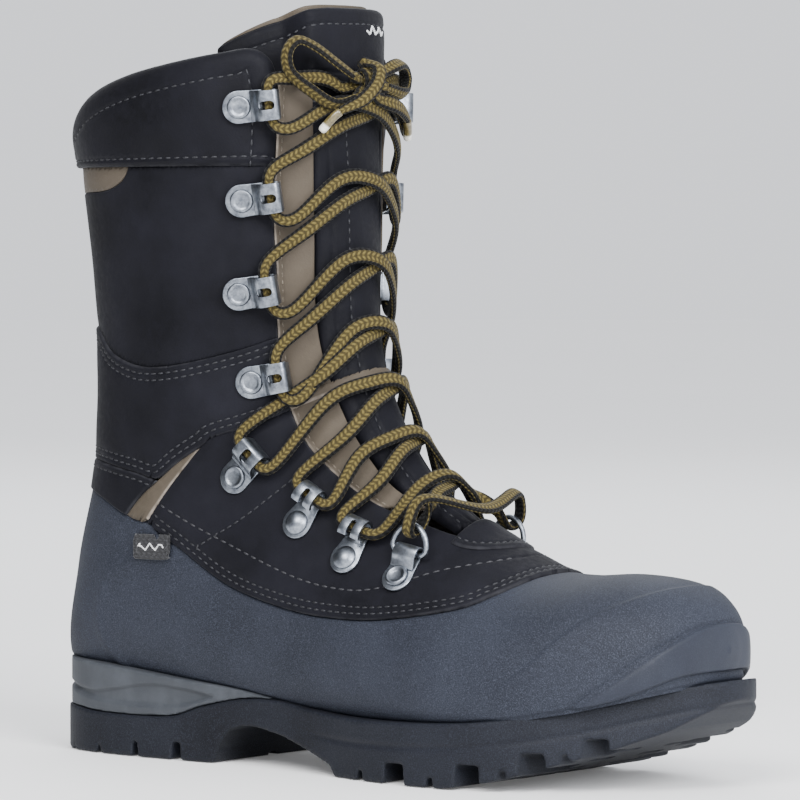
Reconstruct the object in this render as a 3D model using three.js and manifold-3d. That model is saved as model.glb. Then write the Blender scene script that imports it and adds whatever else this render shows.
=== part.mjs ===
// A high insulated hunting boot for the right foot, in millimetres, standing on z = 0.
// +X points to the toe, +Y to the inner side of the foot, +Z up the shaft.
import * as THREE from 'three';
import Module from 'manifold-3d';

const wasm = await Module();
wasm.setup();
const { Manifold, CrossSection, Mesh: SolidMesh } = wasm;

const MID_Y = 3;          // centre line of the foot; the lacing gap is centred on SLOT_Y
const SLOT_Y = 2;
const GAP = 0.3;          // clearance between pieces that touch
const REACH = 90;         // half width of every cutting slab, past both sides of the boot
const RING_POINTS = 20;   // points round one section of the foot

// Sections of the boot's outer surface, from the toe to the top of the shaft. Each lies in the plane
// through its dorsal point and its sole point:
// dorsal x, z, sole x, z, half width outer, inner, centre y, belly, roundness dorsal, sole
const SECTIONS = [
  [152, 60, 152, 46, 6, 6, 11, 0.50, 2.0, 2.0],
  [150, 67, 150, 39, 21, 16, 11, 0.55, 2.3, 2.6],
  [144, 73, 144, 33, 34, 25, 10, 0.60, 2.4, 3.0],
  [133, 78, 134, 28, 43, 34, 9, 0.62, 2.4, 3.4],
  [114, 80, 116, 22, 50, 42, 6, 0.62, 2.3, 3.6],
  [94, 79, 95, 17, 54, 46, 4, 0.62, 2.1, 3.6],
  [76, 81, 74, 15, 55, 48, 3, 0.62, 1.9, 3.6],
  [57, 90, 52, 14, 54, 46, 2, 0.64, 1.7, 3.4],
  [36, 102, 22, 14, 50, 43, 2, 0.64, 1.6, 3.2],
  [16, 116, -15, 15, 46, 41, 3, 0.62, 1.65, 3.0],
  [2, 134, -62, 17, 43, 41, 3, 0.60, 1.75, 2.8],
  [-6, 152, -120, 20, 41, 40, 3, 0.57, 1.85, 2.6],
  [-11.5, 172, -155, 30, 41, 40, 3, 0.54, 1.95, 2.5],
  [-13.5, 192, -154, 66, 42, 41, 3, 0.52, 2.0, 2.3],
  [-15, 214, -143, 106, 44, 43, 2.5, 0.50, 2.1, 2.2],
  [-15.5, 236, -138, 146, 47, 45, 2, 0.50, 2.1, 2.2],
  [-16.5, 256, -139.5, 184, 50, 48, 1.5, 0.50, 2.2, 2.2],
  [-17, 276, -142.5, 220, 53, 51, 1, 0.50, 2.2, 2.2],
  [-17, 304, -147, 264, 54, 52, 1, 0.50, 2.2, 2.2],
];
const TOE_SHIFT = [1, 1, 0.9, 0.7, 0.4, 0.2];   // how far a layer's end draws back, per mm of depth
const LAST = SECTIONS.length - 1;

// Side profiles, each a list of [x, z] from the heel to the toe.
const SOLE_TOP = [[-170, 38.5], [-125, 36.5], [-100, 34.5], [-78, 32.5], [-50, 30], [-28, 27],
  [-10, 25], [15, 23.5], [46, 24], [79, 26], [112, 31], [136, 37], [151, 41], [170, 44]];
const WEDGE_LOW = [[-170, 18.5], [-138, 17.5], [-123, 16.5], [-86, 17], [-68, 22], [-48, 26], [-30, 26.8]];
const SHELL_EDGE = [[-170, 106.5], [-129, 106.5], [-104, 97], [-94, 94], [-79, 86], [-50, 71], [-17, 63],
  [10, 61], [32, 62], [62, 67], [73, 72], [80, 78], [84, 85], [92, 120]];
const SKIRT_TOP = [[-170, 119.5], [-129, 119], [-102, 115], [-92, 112.5]];
const TAN_REAR = [[-104, 97], [-96, 105], [-87, 111.5], [-77, 119], [-66, 125.5]];
const TAN_FRONT = [[-94, 94], [-82, 108], [-72, 119], [-66, 125.5]];
const ANKLE_SEAM = [[-66, 125.5], [-61, 129], [-44, 134], [-29, 141], [-10, 150], [30, 170]];
const SHAFT_SEAM = [[-170, 173], [-133, 172.5], [-122, 170], [-111, 162], [-95, 157], [-80, 157],
  [-63, 160], [-48, 164], [-37, 168], [-20, 173], [20, 184]];
const COLLAR_SEAM_Z = 236;
const COLLAR_TOP = [[-170, 243], [-146, 247], [-130, 258], [-114, 266], [-92, 272.5], [-70, 277],
  [-36, 283], [-30, 277], [-27, 266], [-20, 255]];

// The opening under the laces, as half widths at heights.
const PANEL_GAP = [[93, 18], [113, 25], [150, 27], [184, 30], [223, 34], [320, 36]];
const TONGUE_GAP = [[97, 10], [113, 15], [150, 17], [184, 20], [223, 22], [320, 25]];

function catmull(p0, p1, p2, p3, t) {
  return 0.5 * (2 * p1 + (p2 - p0) * t + (2 * p0 - 5 * p1 + 4 * p2 - p3) * t * t
    + (3 * p1 - p0 - 3 * p2 + p3) * t * t * t);
}

function sectionAt(u) {
  const i = Math.min(Math.floor(u), LAST - 1);
  const t = u - i;
  const [b, c] = [SECTIONS[i], SECTIONS[i + 1]];
  return b.map((value, k) => {
    const before = i > 0 ? SECTIONS[i - 1][k] : 2 * value - c[k];
    const after = i < LAST - 1 ? SECTIONS[i + 2][k] : 2 * c[k] - value;
    return catmull(before, value, c[k], after, t);
  });
}

const signedPower = (value, exponent) => Math.sign(value) * Math.abs(value) ** exponent;

// A point of the layer lying `depth` inside the outer surface.
function layerPoint(u, angle, depth) {
  const [dx, dz, sx, sz, outer, inner, centre, belly, top, bottom] = sectionAt(u);
  const length = Math.hypot(sx - dx, sz - dz);
  const inset = Math.min(depth, length / 2 - 2);
  const along = [(sx - dx) / length, (sz - dz) / length];
  const shiftIndex = Math.min(Math.floor(u), TOE_SHIFT.length - 1);
  const shiftNext = TOE_SHIFT[shiftIndex + 1] ?? 0;
  const shift = u < TOE_SHIFT.length
    ? depth * (TOE_SHIFT[shiftIndex] + (shiftNext - TOE_SHIFT[shiftIndex]) * (u - shiftIndex)) : 0;
  const [c, s] = [Math.cos(angle), Math.sin(angle)];
  const power = 2 / (c >= 0 ? top : bottom);
  const [cc, ss] = [signedPower(c, power), signedPower(s, power)];
  const a = c >= 0 ? belly * (1 - cc) : belly - (1 - belly) * cc;
  const half = Math.max((ss >= 0 ? inner : outer) - depth, 2);
  const run = inset + (length - 2 * inset) * a;
  return new THREE.Vector3(dx + along[0] * run - shift, centre + half * ss, dz + along[1] * run);
}

// Closed solid from rings of points; the two end rings are closed with a fan.
function solidFromRings(rings) {
  const points = [];
  const triangles = [];
  const n = rings[0].length;
  rings.forEach((ring) => ring.forEach((p) => points.push(p.x, p.y, p.z)));
  for (let i = 0; i < rings.length - 1; i++) {
    for (let j = 0; j < n; j++) {
      const [a, b] = [i * n + j, i * n + (j + 1) % n];
      triangles.push(a, b, b + n, a, b + n, a + n);
    }
  }
  [0, rings.length - 1].forEach((row) => {
    const centre = rings[row].reduce((sum, p) => sum.add(p), new THREE.Vector3()).divideScalar(n);
    const c = points.length / 3;
    points.push(centre.x, centre.y, centre.z);
    for (let j = 0; j < n; j++) {
      const [a, b] = [row * n + j, row * n + (j + 1) % n];
      triangles.push(...(row === 0 ? [b, a, c] : [a, b, c]));
    }
  });
  if (signedVolume(points, triangles) < 0) {
    for (let i = 0; i < triangles.length; i += 3) {
      [triangles[i], triangles[i + 1]] = [triangles[i + 1], triangles[i]];
    }
  }
  return new Manifold(new SolidMesh({
    numProp: 3, vertProperties: new Float32Array(points), triVerts: new Uint32Array(triangles),
  }));
}

function signedVolume(points, triangles) {
  const at = (i) => new THREE.Vector3(points[3 * i], points[3 * i + 1], points[3 * i + 2]);
  let total = 0;
  for (let i = 0; i < triangles.length; i += 3) {
    total += at(triangles[i]).dot(at(triangles[i + 1]).cross(at(triangles[i + 2])));
  }
  return total;
}

const RING_AT = [0, 1, 2, 3, 4, 5, 6, 7, 8, 9, 9.5, 10, 10.5, 11, 11.5, 12, 12.5, 13, 14, 15, 16, 17, 18];
const depthCache = new Map();
// depthOf is a number, or a pair [depth in the foot, depth in the shaft].
function layer(depthOf) {
  const key = String(depthOf);
  if (!depthCache.has(key)) {
    const [foot, shaft] = Array.isArray(depthOf) ? depthOf : [depthOf, depthOf];
    depthCache.set(key, solidFromRings(RING_AT.map((u) => {
      const mix = THREE.MathUtils.smoothstep(u, 14, 16);
      const depth = foot + (shaft - foot) * mix;
      return Array.from({ length: RING_POINTS }, (_, j) => (
        layerPoint(u, (j + 0.5) / RING_POINTS * Math.PI * 2 - Math.PI, depth)));
    })));
  }
  return depthCache.get(key);
}

// [x, z] outline swept across the boot.
function sideSolid(outline, y0 = -REACH, y1 = REACH) {
  return CrossSection.ofPolygons([outline], 'EvenOdd').extrude(y1 - y0)
    .rotate([90, 0, 0]).translate([0, y1, 0]);
}

// [y, z] outline swept along the boot.
function frontSolid(outline, x0, x1) {
  return CrossSection.ofPolygons([outline], 'EvenOdd').extrude(x1 - x0)
    .rotate([90, 0, 90]).translate([x0, 0, 0]);
}

function planSolid(outline, z0, z1) {
  return CrossSection.ofPolygons([outline], 'EvenOdd').extrude(z1 - z0).translate([0, 0, z0]);
}

function box(x0, x1, y0, y1, z0, z1) {
  return Manifold.cube([x1 - x0, y1 - y0, z1 - z0]).translate([x0, y0, z0]);
}

const lifted = (profile, dz) => profile.map(([x, z]) => [x, z + dz]);
const reversed = (profile) => [...profile].reverse();
const SKY = 400;
const aboveSole = (h) => sideSolid([...lifted(SOLE_TOP, h), [170, SKY], [-170, SKY]]);
const soleBand = (h0, h1) => sideSolid([...lifted(SOLE_TOP, h0), ...reversed(lifted(SOLE_TOP, h1))]);

// The gap between the lacing edges, as a solid reaching forward from inside the shaft.
function lacingGap(widths, grow, floor) {
  const side = widths.map(([z, half]) => [half + grow, Math.max(z, floor)]);
  const outline = [...side.map(([half, z]) => [SLOT_Y + half, z]),
    ...reversed(side.map(([half, z]) => [SLOT_Y - half, z]))];
  return frontSolid(outline, -62, 120);
}

const PANEL_SLOT = lacingGap(PANEL_GAP, 0, 0);
const STRIP_SLOT = lacingGap(PANEL_GAP, -GAP, 0);
// The bootie's slot reaches below the tongue, so that the tongue can fold back.
const LINER_SLOT = lacingGap([[93, TONGUE_GAP[0][1]], ...TONGUE_GAP.slice(1)], 1.5, 0);
const TONGUE_SLOT = lacingGap(TONGUE_GAP, 0, 0);

function largestPart(solid) {
  return solid.decompose().reduce((best, part) => (part.volume() > best.volume() ? part : best));
}

const SIMPLIFY = 0.03;    // drops vertices that lie on flat faces
const group = new THREE.Group();
function addPiece(name, solid, color, roughness = 0.8, metalness = 0) {
  const whole = largestPart(solid.simplify(SIMPLIFY));
  const { vertProperties, triVerts, numProp } = whole.getMesh();
  const geometry = new THREE.BufferGeometry();
  const positions = new Float32Array(vertProperties.length / numProp * 3);
  for (let i = 0; i < positions.length / 3; i++) {
    for (let k = 0; k < 3; k++) positions[3 * i + k] = vertProperties[numProp * i + k];
  }
  geometry.setAttribute('position', new THREE.BufferAttribute(positions, 3));
  geometry.setIndex(new THREE.BufferAttribute(new Uint32Array(triVerts), 1));
  geometry.computeVertexNormals();
  const material = new THREE.MeshStandardMaterial({ color, roughness, metalness });
  material.name = name;
  const mesh = new THREE.Mesh(geometry, material);
  mesh.name = name;
  group.add(mesh);
}

const BLACK = 0x17181b;
const LEATHER = 0x1d1e22;
const TAN = 0x6f6557;
const RUBBER = 0x2a2e36;
const GREY = 0x6b7278;
const STEEL = 0x9aa0a6;
const OLIVE = 0x7a6a3f;

// ---- Sole ----------------------------------------------------------------------------------------
const SOLE_PLAN = [[-157, 3], [-155, -11], [-149, -22], [-137, -30], [-118, -34], [-95, -35.5], [-75, -35.5],
  [-45, -35], [-20, -38], [5, -44], [28, -50], [50, -53], [72, -53], [92, -49], [112, -40], [130, -28],
  [145, -13], [154, 1], [157, 13], [155, 26], [147, 38], [133, 46], [115, 51], [92, 53], [68, 53],
  [40, 50], [12, 44], [-20, 38], [-45, 36], [-75, 39], [-95, 41], [-118, 41], [-137, 37], [-149, 28],
  [-155, 18]];
const TREAD = [[-157, 5], [-151, 0], [-62, 0], [-60, 6], [-55, 13], [-48, 15.5], [-40, 15.5], [-25, 13],
  [-8, 8], [4, 4], [7, 0], [66, 0], [80, 2], [98, 6.5], [115, 12], [128, 16.5], [143, 23], [151, 29],
  [157, 34]];
const HEEL_SLOTS = [[-124, 2.5, 4], [-103, 4, 6], [-81, 5.5, 7]];
const FORE_SLOTS = [[42, 11, 7], [77, 11, 7], [102, 10, 6.5], [123, 9, 6]];
const FORE_SLITS = [[23, 4, 3], [60, 4, 3], [91, 4, 3], [113, 4, 3]];

function treadHeight(x) {
  for (let i = 1; i < TREAD.length; i++) {
    const [[x0, z0], [x1, z1]] = [TREAD[i - 1], TREAD[i]];
    if (x <= x1) return z0 + (z1 - z0) * (x - x0) / (x1 - x0);
  }
  return TREAD[TREAD.length - 1][1];
}

// Trapezoid slots between the lugs, cut in from both edges.
function lugSlots(slots, innerReach) {
  return slots.flatMap(([x, width, height]) => {
    const z = treadHeight(x);
    const outline = [[x - width / 2 - 1, z - 12], [x + width / 2 + 1, z - 12],
      [x + width / 2 - 1, z + height], [x - width / 2 + 1, z + height]];
    return [sideSolid(outline, -REACH, MID_Y - innerReach), sideSolid(outline, MID_Y + innerReach, REACH)];
  });
}

function makeOutsole() {
  const top = [...WEDGE_LOW, ...lifted(SOLE_TOP.filter(([x]) => x > -30), -GAP)];
  const blank = planSolid(SOLE_PLAN, -1, 60).intersect(sideSolid([...TREAD, [170, 43.7], ...reversed(top)]));
  const channel = [box(-4, 110, MID_Y - 5, MID_Y + 5, -5, 5), box(-160, -62, MID_Y - 4, MID_Y + 4, -5, 5)];
  const cuts = [...lugSlots(HEEL_SLOTS, 14), ...lugSlots(FORE_SLOTS, 24), ...lugSlots(FORE_SLITS, 36), ...channel];
  return cuts.reduce((solid, cut) => solid.subtract(cut), blank);
}

function makeWedge() {
  const outline = [...lifted(WEDGE_LOW, GAP), ...reversed(lifted(SOLE_TOP.filter(([x]) => x < -49), -GAP))];
  const inset = SOLE_PLAN.map(([x, y]) => [x * 0.995, MID_Y + (y - MID_Y) * 0.985]);
  return planSolid(inset, 10, 60).intersect(sideSolid(outline));
}

addPiece('outsole', makeOutsole(), BLACK, 0.9);
addPiece('heel_wedge', makeWedge(), GREY, 0.8);

// ---- Foot shell and what lies inside it ----------------------------------------------------------
const SHELL_WALL = 4.5;
const BOARD = 2.5;
const COUNTER_WALL = 1.5;
const BOOTIE_WALL = 3.4;
const BOOTIE_DEPTH = SHELL_WALL + COUNTER_WALL + 2 * GAP;
const BOOTIE_FLOOR = SHELL_WALL + BOARD + 2 * GAP;
const SHAFT_DEPTH = 3.2;
const SHAFT_BOOTIE_WALL = 6;
const BED_DEPTH = BOOTIE_DEPTH + BOOTIE_WALL + GAP;
const BED_FLOOR = BOOTIE_FLOOR + BOOTIE_WALL + GAP;

const cavity = (depth, floor) => layer(depth).intersect(aboveSole(floor));
const shellRegion = sideSolid([...SHELL_EDGE, [200, 120], [200, -20], [-170, -20]]);
const shellBody = cavity(0, 0).subtract(cavity(SHELL_WALL, SHELL_WALL)).intersect(shellRegion);
addPiece('foot_shell', shellBody, RUBBER, 0.75);

const SHANK = { x0: -95, x1: 20, half: 8, thick: 1.5 };
const boardSolid = layer(SHELL_WALL + GAP).intersect(soleBand(SHELL_WALL + GAP, SHELL_WALL + GAP + BOARD));
const shankBand = (grow) => soleBand(SHELL_WALL + GAP - 1, SHELL_WALL + GAP + SHANK.thick + grow)
  .intersect(box(SHANK.x0 - grow, SHANK.x1 + grow, MID_Y - SHANK.half - grow, MID_Y + SHANK.half + grow, 0, 80));
addPiece('insole_board', boardSolid.subtract(shankBand(GAP)), 0x8a7a5e, 0.9);
addPiece('shank', shankBand(0).intersect(aboveSole(SHELL_WALL + GAP)), STEEL, 0.4, 1);

const cupWall = cavity(SHELL_WALL + GAP, BOOTIE_FLOOR).subtract(layer(SHELL_WALL + GAP + COUNTER_WALL));
addPiece('heel_counter', cupWall.intersect(box(-170, -96, -REACH, REACH, 0, 92)), 0x3a3a3c, 0.7);
addPiece('toe_puff', cupWall.intersect(box(104, 170, -REACH, REACH, 0, 200)), 0x3a3a3c, 0.7);

const topCut = (drop) => sideSolid([[-170, -20], [200, -20], [200, 40], [0, 200], [-20, 250 - drop],
  ...reversed(lifted(COLLAR_TOP, -drop)).slice(1)]);
const bootie = cavity([BOOTIE_DEPTH, SHAFT_DEPTH], BOOTIE_FLOOR)
  .subtract(cavity([BOOTIE_DEPTH + BOOTIE_WALL, SHAFT_DEPTH + SHAFT_BOOTIE_WALL], BOOTIE_FLOOR + BOOTIE_WALL))
  .subtract(LINER_SLOT).intersect(topCut(2));
addPiece('insulation_bootie', bootie, 0x9a8b72, 0.95);
addPiece('footbed', layer(BED_DEPTH).intersect(soleBand(BED_FLOOR, BED_FLOOR + 4.5)), 0x4d4f52, 0.95);

// ---- Leather panels ------------------------------------------------------------------------------
const PANEL_INNER = 2.8;
const PANEL_OUTER = -1;
const COLLAR_OUTER = -3;
function panel(outer, region) {
  return layer(outer).subtract(layer(PANEL_INNER)).subtract(PANEL_SLOT).intersect(sideSolid(region));
}

const vampRegion = [...lifted(TAN_FRONT, -GAP), ...ANKLE_SEAM.slice(1).map(([x, z]) => [x + 0.2, z - GAP]),
  [140, 170], [92.4, 120], ...reversed(lifted(SHELL_EDGE.slice(3, -1), GAP))];
const skirtRegion = [[-170, 119.2], [-129, 118.7], [-102, 114.7], [-88.5, 110.6], ...reversed(TAN_REAR.slice(0, 2))
  .map(([x, z]) => [x - GAP, z + GAP]), [-129, 106.8], [-170, 106.8]];
const ankleRegion = [...SKIRT_TOP, [-87.5, 112], ...TAN_REAR.slice(3).map(([x, z]) => [x - 0.2, z + 0.3]),
  ...ANKLE_SEAM.slice(1), [40, 184], ...reversed(lifted(SHAFT_SEAM, -GAP))];
const tanRegion = [[-103.8, 97.6], ...TAN_REAR.slice(1), ...reversed(TAN_FRONT.slice(1, -1)).map(([x, z]) => [x - GAP, z]), [-94.2, 94.7]];
const insertTop = COLLAR_SEAM_Z - GAP;
const INSERT_LOW = [[-170, 225.5], [-123, 226], [-106, 227], [-96, 231], [-92, insertTop]];
const shaftRegion = [...SHAFT_SEAM, [20, insertTop], [-91.5, insertTop], ...reversed(lifted(INSERT_LOW, -GAP)).slice(1)];
const collarRegion = [[-170, COLLAR_SEAM_Z], [20, COLLAR_SEAM_Z], ...reversed(COLLAR_TOP)];

addPiece('vamp_panel', panel(-1, vampRegion), LEATHER, 0.85);
addPiece('heel_skirt', panel(-1.2, skirtRegion), LEATHER, 0.85);
addPiece('ankle_panel', panel(-1, ankleRegion), LEATHER, 0.85);
addPiece('shaft_panel', panel(0, shaftRegion), LEATHER, 0.85);
addPiece('collar_panel', panel(COLLAR_OUTER, collarRegion), LEATHER, 0.85);
addPiece('collar_insert', panel(-0.6, [...INSERT_LOW, [-170, insertTop]]), TAN, 0.85);
const tanPanel = panel(-0.8, tanRegion);
addPiece('ankle_piping_outer', tanPanel.intersect(box(-170, 0, -REACH, -10, 0, SKY)), TAN, 0.85);
addPiece('ankle_piping_inner', tanPanel.intersect(box(-170, 0, 10, REACH, 0, SKY)), TAN, 0.85);

// Tan strips that join the lacing edges to the tongue.
const stripShell = layer(0.2).subtract(layer(2.4)).intersect(STRIP_SLOT).subtract(LINER_SLOT)
  .intersect(sideSolid([[60, 104], [60, 200], [0, 272], [-70, 272], [-70, 104]]));
addPiece('gusset_outer', stripShell.intersect(box(-100, 100, -REACH, MID_Y, 0, SKY)), TAN, 0.85);
addPiece('gusset_inner', stripShell.intersect(box(-100, 100, MID_Y, REACH, 0, SKY)), TAN, 0.85);

const tongueBody = layer(0.5).subtract(layer(7)).intersect(TONGUE_SLOT)
  .intersect(sideSolid([[60, 98], [60, 200], [0, 299], [-60, 299], [-60, 98]]));
addPiece('tongue', tongueBody, BLACK, 0.85);

const patchOutline = Array.from({ length: 20 }, (_, i) => {
  const angle = i / 20 * Math.PI * 2;
  return [45 + 17 * Math.cos(angle), MID_Y + 21 * Math.sin(angle)];
});
const patch = layer(-2.4).subtract(layer(-1 - GAP)).intersect(planSolid(patchOutline, 60, 200))
  .intersect(box(44, 80, -REACH, REACH, 0, SKY));
addPiece('throat_patch', patch, LEATHER, 0.85);
const tagSolid = layer(-2.2).subtract(layer(-1 - GAP)).intersect(box(-99, -80, -REACH, -20, 80, 90));
addPiece('side_tag', tagSolid, BLACK, 0.8);

// ---- Lacing hardware -----------------------------------------------------------------------------
// The level direction that lies in the surface and points the same way.
function levelAlong(normal, direction) {
  const level = new THREE.Vector3().crossVectors(normal, new THREE.Vector3(0, 0, 1)).normalize();
  return level.dot(direction) < 0 ? level.negate() : level;
}

// Frame on the leather: origin, outward normal, up along the lacing edge, and inward to the laces.
function surfaceFrame(u, angle, depth, level) {
  const at = (du, da) => layerPoint(u + du, angle + da, depth);
  const origin = at(0, 0);
  const up = at(0.1, 0).sub(at(-0.1, 0)).normalize();
  const side = at(0, -Math.sign(angle) * 0.05).sub(at(0, Math.sign(angle) * 0.05)).normalize();
  const normal = new THREE.Vector3().crossVectors(side, up).normalize();
  if (normal.x < 0 && normal.z < 0.5) normal.negate();
  if (normal.y * Math.sign(angle) < 0) normal.negate();
  const inward = side.clone().addScaledVector(normal, -side.dot(normal)).normalize();
  if (level) inward.lerp(levelAlong(normal, inward), LEVELLED).normalize();
  const rise = new THREE.Vector3().crossVectors(normal, inward).normalize();
  if (rise.dot(up) < 0) rise.negate();
  return { origin, normal, inward, rise };
}

// Section number and angle of each fitting, the same on both sides, from the top down.
const LOOPS = [[16.67, 0.88, COLLAR_OUTER], [15.17, 0.93], [13.83, 0.98], [12.33, 0.88], [11.33, 1.08]];
const LEVEL_FROM = 12;      // fittings above this section lie nearly level
const LEVELLED = 0.75;
const HOOKS = [[10.0, 0.98], [9.0, 0.93]];
const CLIP = [8.0, 0.83];
const PLATE = 1.2;          // sheet thickness of every fitting
const FOOT = 0.6;           // plates stand this far off the leather
const EYE = 5.6;            // clear height where the lace runs
const EYE_Z = FOOT + PLATE + EYE / 2;
const EYE_X = 7.4;
const HEAD_SEGMENTS = 12;

function placed(solid, frame) {
  const across = new THREE.Vector3().crossVectors(frame.normal, frame.inward);
  const columns = [frame.inward, across, frame.normal, frame.origin];
  return solid.transform(columns.flatMap((v, i) => [v.x, v.y, v.z, i === 3 ? 1 : 0]));
}

const fittingPoint = (frame, x, rise, z) => frame.origin.clone()
  .addScaledVector(frame.inward, x).addScaledVector(frame.rise, rise).addScaledVector(frame.normal, z);

const disc = (x, radius, z0, z1) => Manifold.cylinder(z1 - z0, radius, radius, HEAD_SEGMENTS).translate([x, 0, z0]);
const BASE = disc(-4.6, 6.5, FOOT, FOOT + PLATE).add(box(-4.6, 11.4, -6.4, 6.4, FOOT, FOOT + PLATE));
const EYE_TOP = FOOT + PLATE + EYE;

function loopSolid() {
  const bridge = box(3.4, 11.4, -4.6, 4.6, FOOT, EYE_TOP + PLATE)
    .subtract(box(4.4, 10.4, -9, 9, FOOT + PLATE, EYE_TOP));
  const head = disc(-4.6, 4.6, FOOT, FOOT + PLATE + 1.2);
  return BASE.add(bridge).add(head);
}

const STEM = 1.5;
function hookSolid() {
  const claw = box(3.4, 11.4, -3.6, 3.6, FOOT, EYE_TOP + PLATE)
    .subtract(box(2, 10.4, -9, 9, FOOT + PLATE, EYE_TOP));
  const base = disc(-4.6, 6.3, FOOT, FOOT + PLATE).add(box(-4.6, 11.4, -4.2, 4.2, FOOT, FOOT + PLATE));
  return base.add(claw).subtract(disc(-4.6, STEM + GAP, -1, 3));
}

const RING_BAR = { x: 5.6, z: FOOT + PLATE + 1.5, half: 8, wire: 1.1, reach: 11, tilt: 0.62 };
function clipSolid() {
  const barrel = box(RING_BAR.x - 2.7, RING_BAR.x + 2.7, -5.4, 5.4, FOOT, RING_BAR.z + 2.7)
    .subtract(box(RING_BAR.x - 1.5, RING_BAR.x + 1.5, -9, 9, FOOT + PLATE, RING_BAR.z + 1.5));
  return disc(-4.6, 6.3, FOOT, FOOT + PLATE).add(box(-4.6, RING_BAR.x + 2.7, -5.4, 5.4, FOOT, FOOT + PLATE))
    .add(barrel).subtract(disc(-4.6, STEM + GAP, -1, 3));
}

const rivetSolid = () => disc(-4.6, STEM, FOOT, FOOT + PLATE + GAP + 0.5)
  .add(disc(-4.6, 4.8, FOOT + PLATE + GAP, FOOT + PLATE + GAP + 1.2));

// Round bar along a list of points, with frames carried along so that it does not twist.
function barSolid(points, radius, sides, closed = false) {
  const n = points.length;
  const tangent = (i) => {
    const ahead = closed ? points[(i + 1) % n] : points[Math.min(i + 1, n - 1)];
    const behind = closed ? points[(i + n - 1) % n] : points[Math.max(i - 1, 0)];
    return ahead.clone().sub(behind).normalize();
  };
  let across = new THREE.Vector3(0.31, 0.52, 0.8).cross(tangent(0)).normalize();
  const rings = points.map((p, i) => {
    const t = tangent(i);
    across = across.clone().addScaledVector(t, -across.dot(t)).normalize();
    const other = new THREE.Vector3().crossVectors(t, across);
    return Array.from({ length: sides }, (_, j) => {
      const angle = j / sides * Math.PI * 2;
      return p.clone().addScaledVector(across, radius * Math.cos(angle))
        .addScaledVector(other, radius * Math.sin(angle));
    });
  });
  return solidFromRings(rings);
}

// Curve through the points, without the samples that hardly bend it.
const STRAIGHT = 0.992;
function smooth(points, perSpan) {
  const samples = new THREE.CatmullRomCurve3(points, false, 'centripetal').getPoints((points.length - 1) * perSpan);
  return samples.reduce((kept, p, i) => {
    if (i === 0 || i === samples.length - 1) return [...kept, p];
    const last = kept[kept.length - 1];
    const bend = p.clone().sub(last).normalize().dot(samples[i + 1].clone().sub(p).normalize());
    return bend < STRAIGHT ? [...kept, p] : kept;
  }, []);
}

// D-shaped wire: a straight bar in the clip and an arc standing off the leather.
function ringSolid() {
  const [c, s] = [Math.cos(RING_BAR.tilt), Math.sin(RING_BAR.tilt)];
  const flat = (x, y) => new THREE.Vector3(RING_BAR.x + x * c, y, RING_BAR.z + x * s);
  const arc = Array.from({ length: 9 }, (_, i) => {
    const angle = -Math.PI / 2 + Math.PI * i / 8;
    return flat(RING_BAR.reach * Math.cos(angle), RING_BAR.half * Math.sin(angle));
  });
  const overhang = RING_BAR.half + RING_BAR.wire;
  const bar = barSolid([flat(0, -overhang), flat(0, overhang)], RING_BAR.wire, 8);
  return barSolid(arc, RING_BAR.wire, 6).add(bar);
}

const SIDES = [['outer', -1], ['inner', 1]];
const frames = { outer: {}, inner: {} };
SIDES.forEach(([side, sign]) => {
  const frameOf = ([u, angle, depth = PANEL_OUTER]) => surfaceFrame(u, sign * angle, depth, u > LEVEL_FROM);
  frames[side].loops = LOOPS.map(frameOf);
  frames[side].hooks = HOOKS.map(frameOf);
  frames[side].clip = frameOf(CLIP);
  frames[side].loops.forEach((frame, i) => addPiece(`loop_${side}_${i + 1}`, placed(loopSolid(), frame), STEEL, 0.35, 1));
  frames[side].hooks.forEach((frame, i) => {
    addPiece(`hook_${side}_${i + 1}`, placed(hookSolid(), frame), STEEL, 0.35, 1);
    addPiece(`hook_rivet_${side}_${i + 1}`, placed(rivetSolid(), frame), STEEL, 0.35, 1);
  });
  addPiece(`ring_clip_${side}`, placed(clipSolid(), frames[side].clip), STEEL, 0.35, 1);
  addPiece(`ring_rivet_${side}`, placed(rivetSolid(), frames[side].clip), STEEL, 0.35, 1);
  addPiece(`d_ring_${side}`, placed(ringSolid(), frames[side].clip), STEEL, 0.35, 1);
});

// ---- Lace ----------------------------------------------------------------------------------------
const LACE_R = 2;
const OVER = 8.4;        // height of the upper lace at a crossing
const UNDER = 3;       // and of the lower one
const RUN = 6.2;       // height on the way
// Levels from the top down: five loops, two hooks.
const LEVELS = [...LOOPS, ...HOOKS];
const levelFrame = (side, level) => (level < LOOPS.length ? frames[side].loops[level]
  : frames[side].hooks[level - LOOPS.length]);
// Rise and inward place of the lace on its way through an eye. Under a level loop it turns straight inward.
const LEVEL_EXIT = [[9.6, 0], [4.5, -0.2], [-4.5, -0.2], [-8.2, 0.3], [-10.6, 5.6]];
const TILTED_EXIT = [[9.6, 0], [4.5, -0.2], [-4.5, -0.2], [-9.6, 0]];
const throughEye = (side, level) => (LEVELS[level][0] > LEVEL_FROM ? LEVEL_EXIT : TILTED_EXIT).map(([rise, along]) => (
  fittingPoint(levelFrame(side, level), EYE_X + along, rise, EYE_Z)));

const WIRE = { x: RING_BAR.x + RING_BAR.reach * Math.cos(RING_BAR.tilt),
  z: RING_BAR.z + RING_BAR.reach * Math.sin(RING_BAR.tilt) };
const TURN = RING_BAR.wire + LACE_R + 1.7;
// Down over the wire of the ring and back beneath it.
const roundWire = (side, fromAbove) => {
  const frame = frames[side].clip;
  const turn = [[8, 1.35], [0, 1], [-0.75, 0.66], [-1, 0], [-0.75, -0.66], [0, -1], [5, -0.95]].map(([dx, dz], i) => (
    fittingPoint(frame, WIRE.x + (i === 0 || i === 6 ? dx : dx * TURN), i < 3 ? -0.5 : 0.5, WIRE.z + dz * TURN)));
  return fromAbove ? turn : turn.reverse();
};

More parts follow.
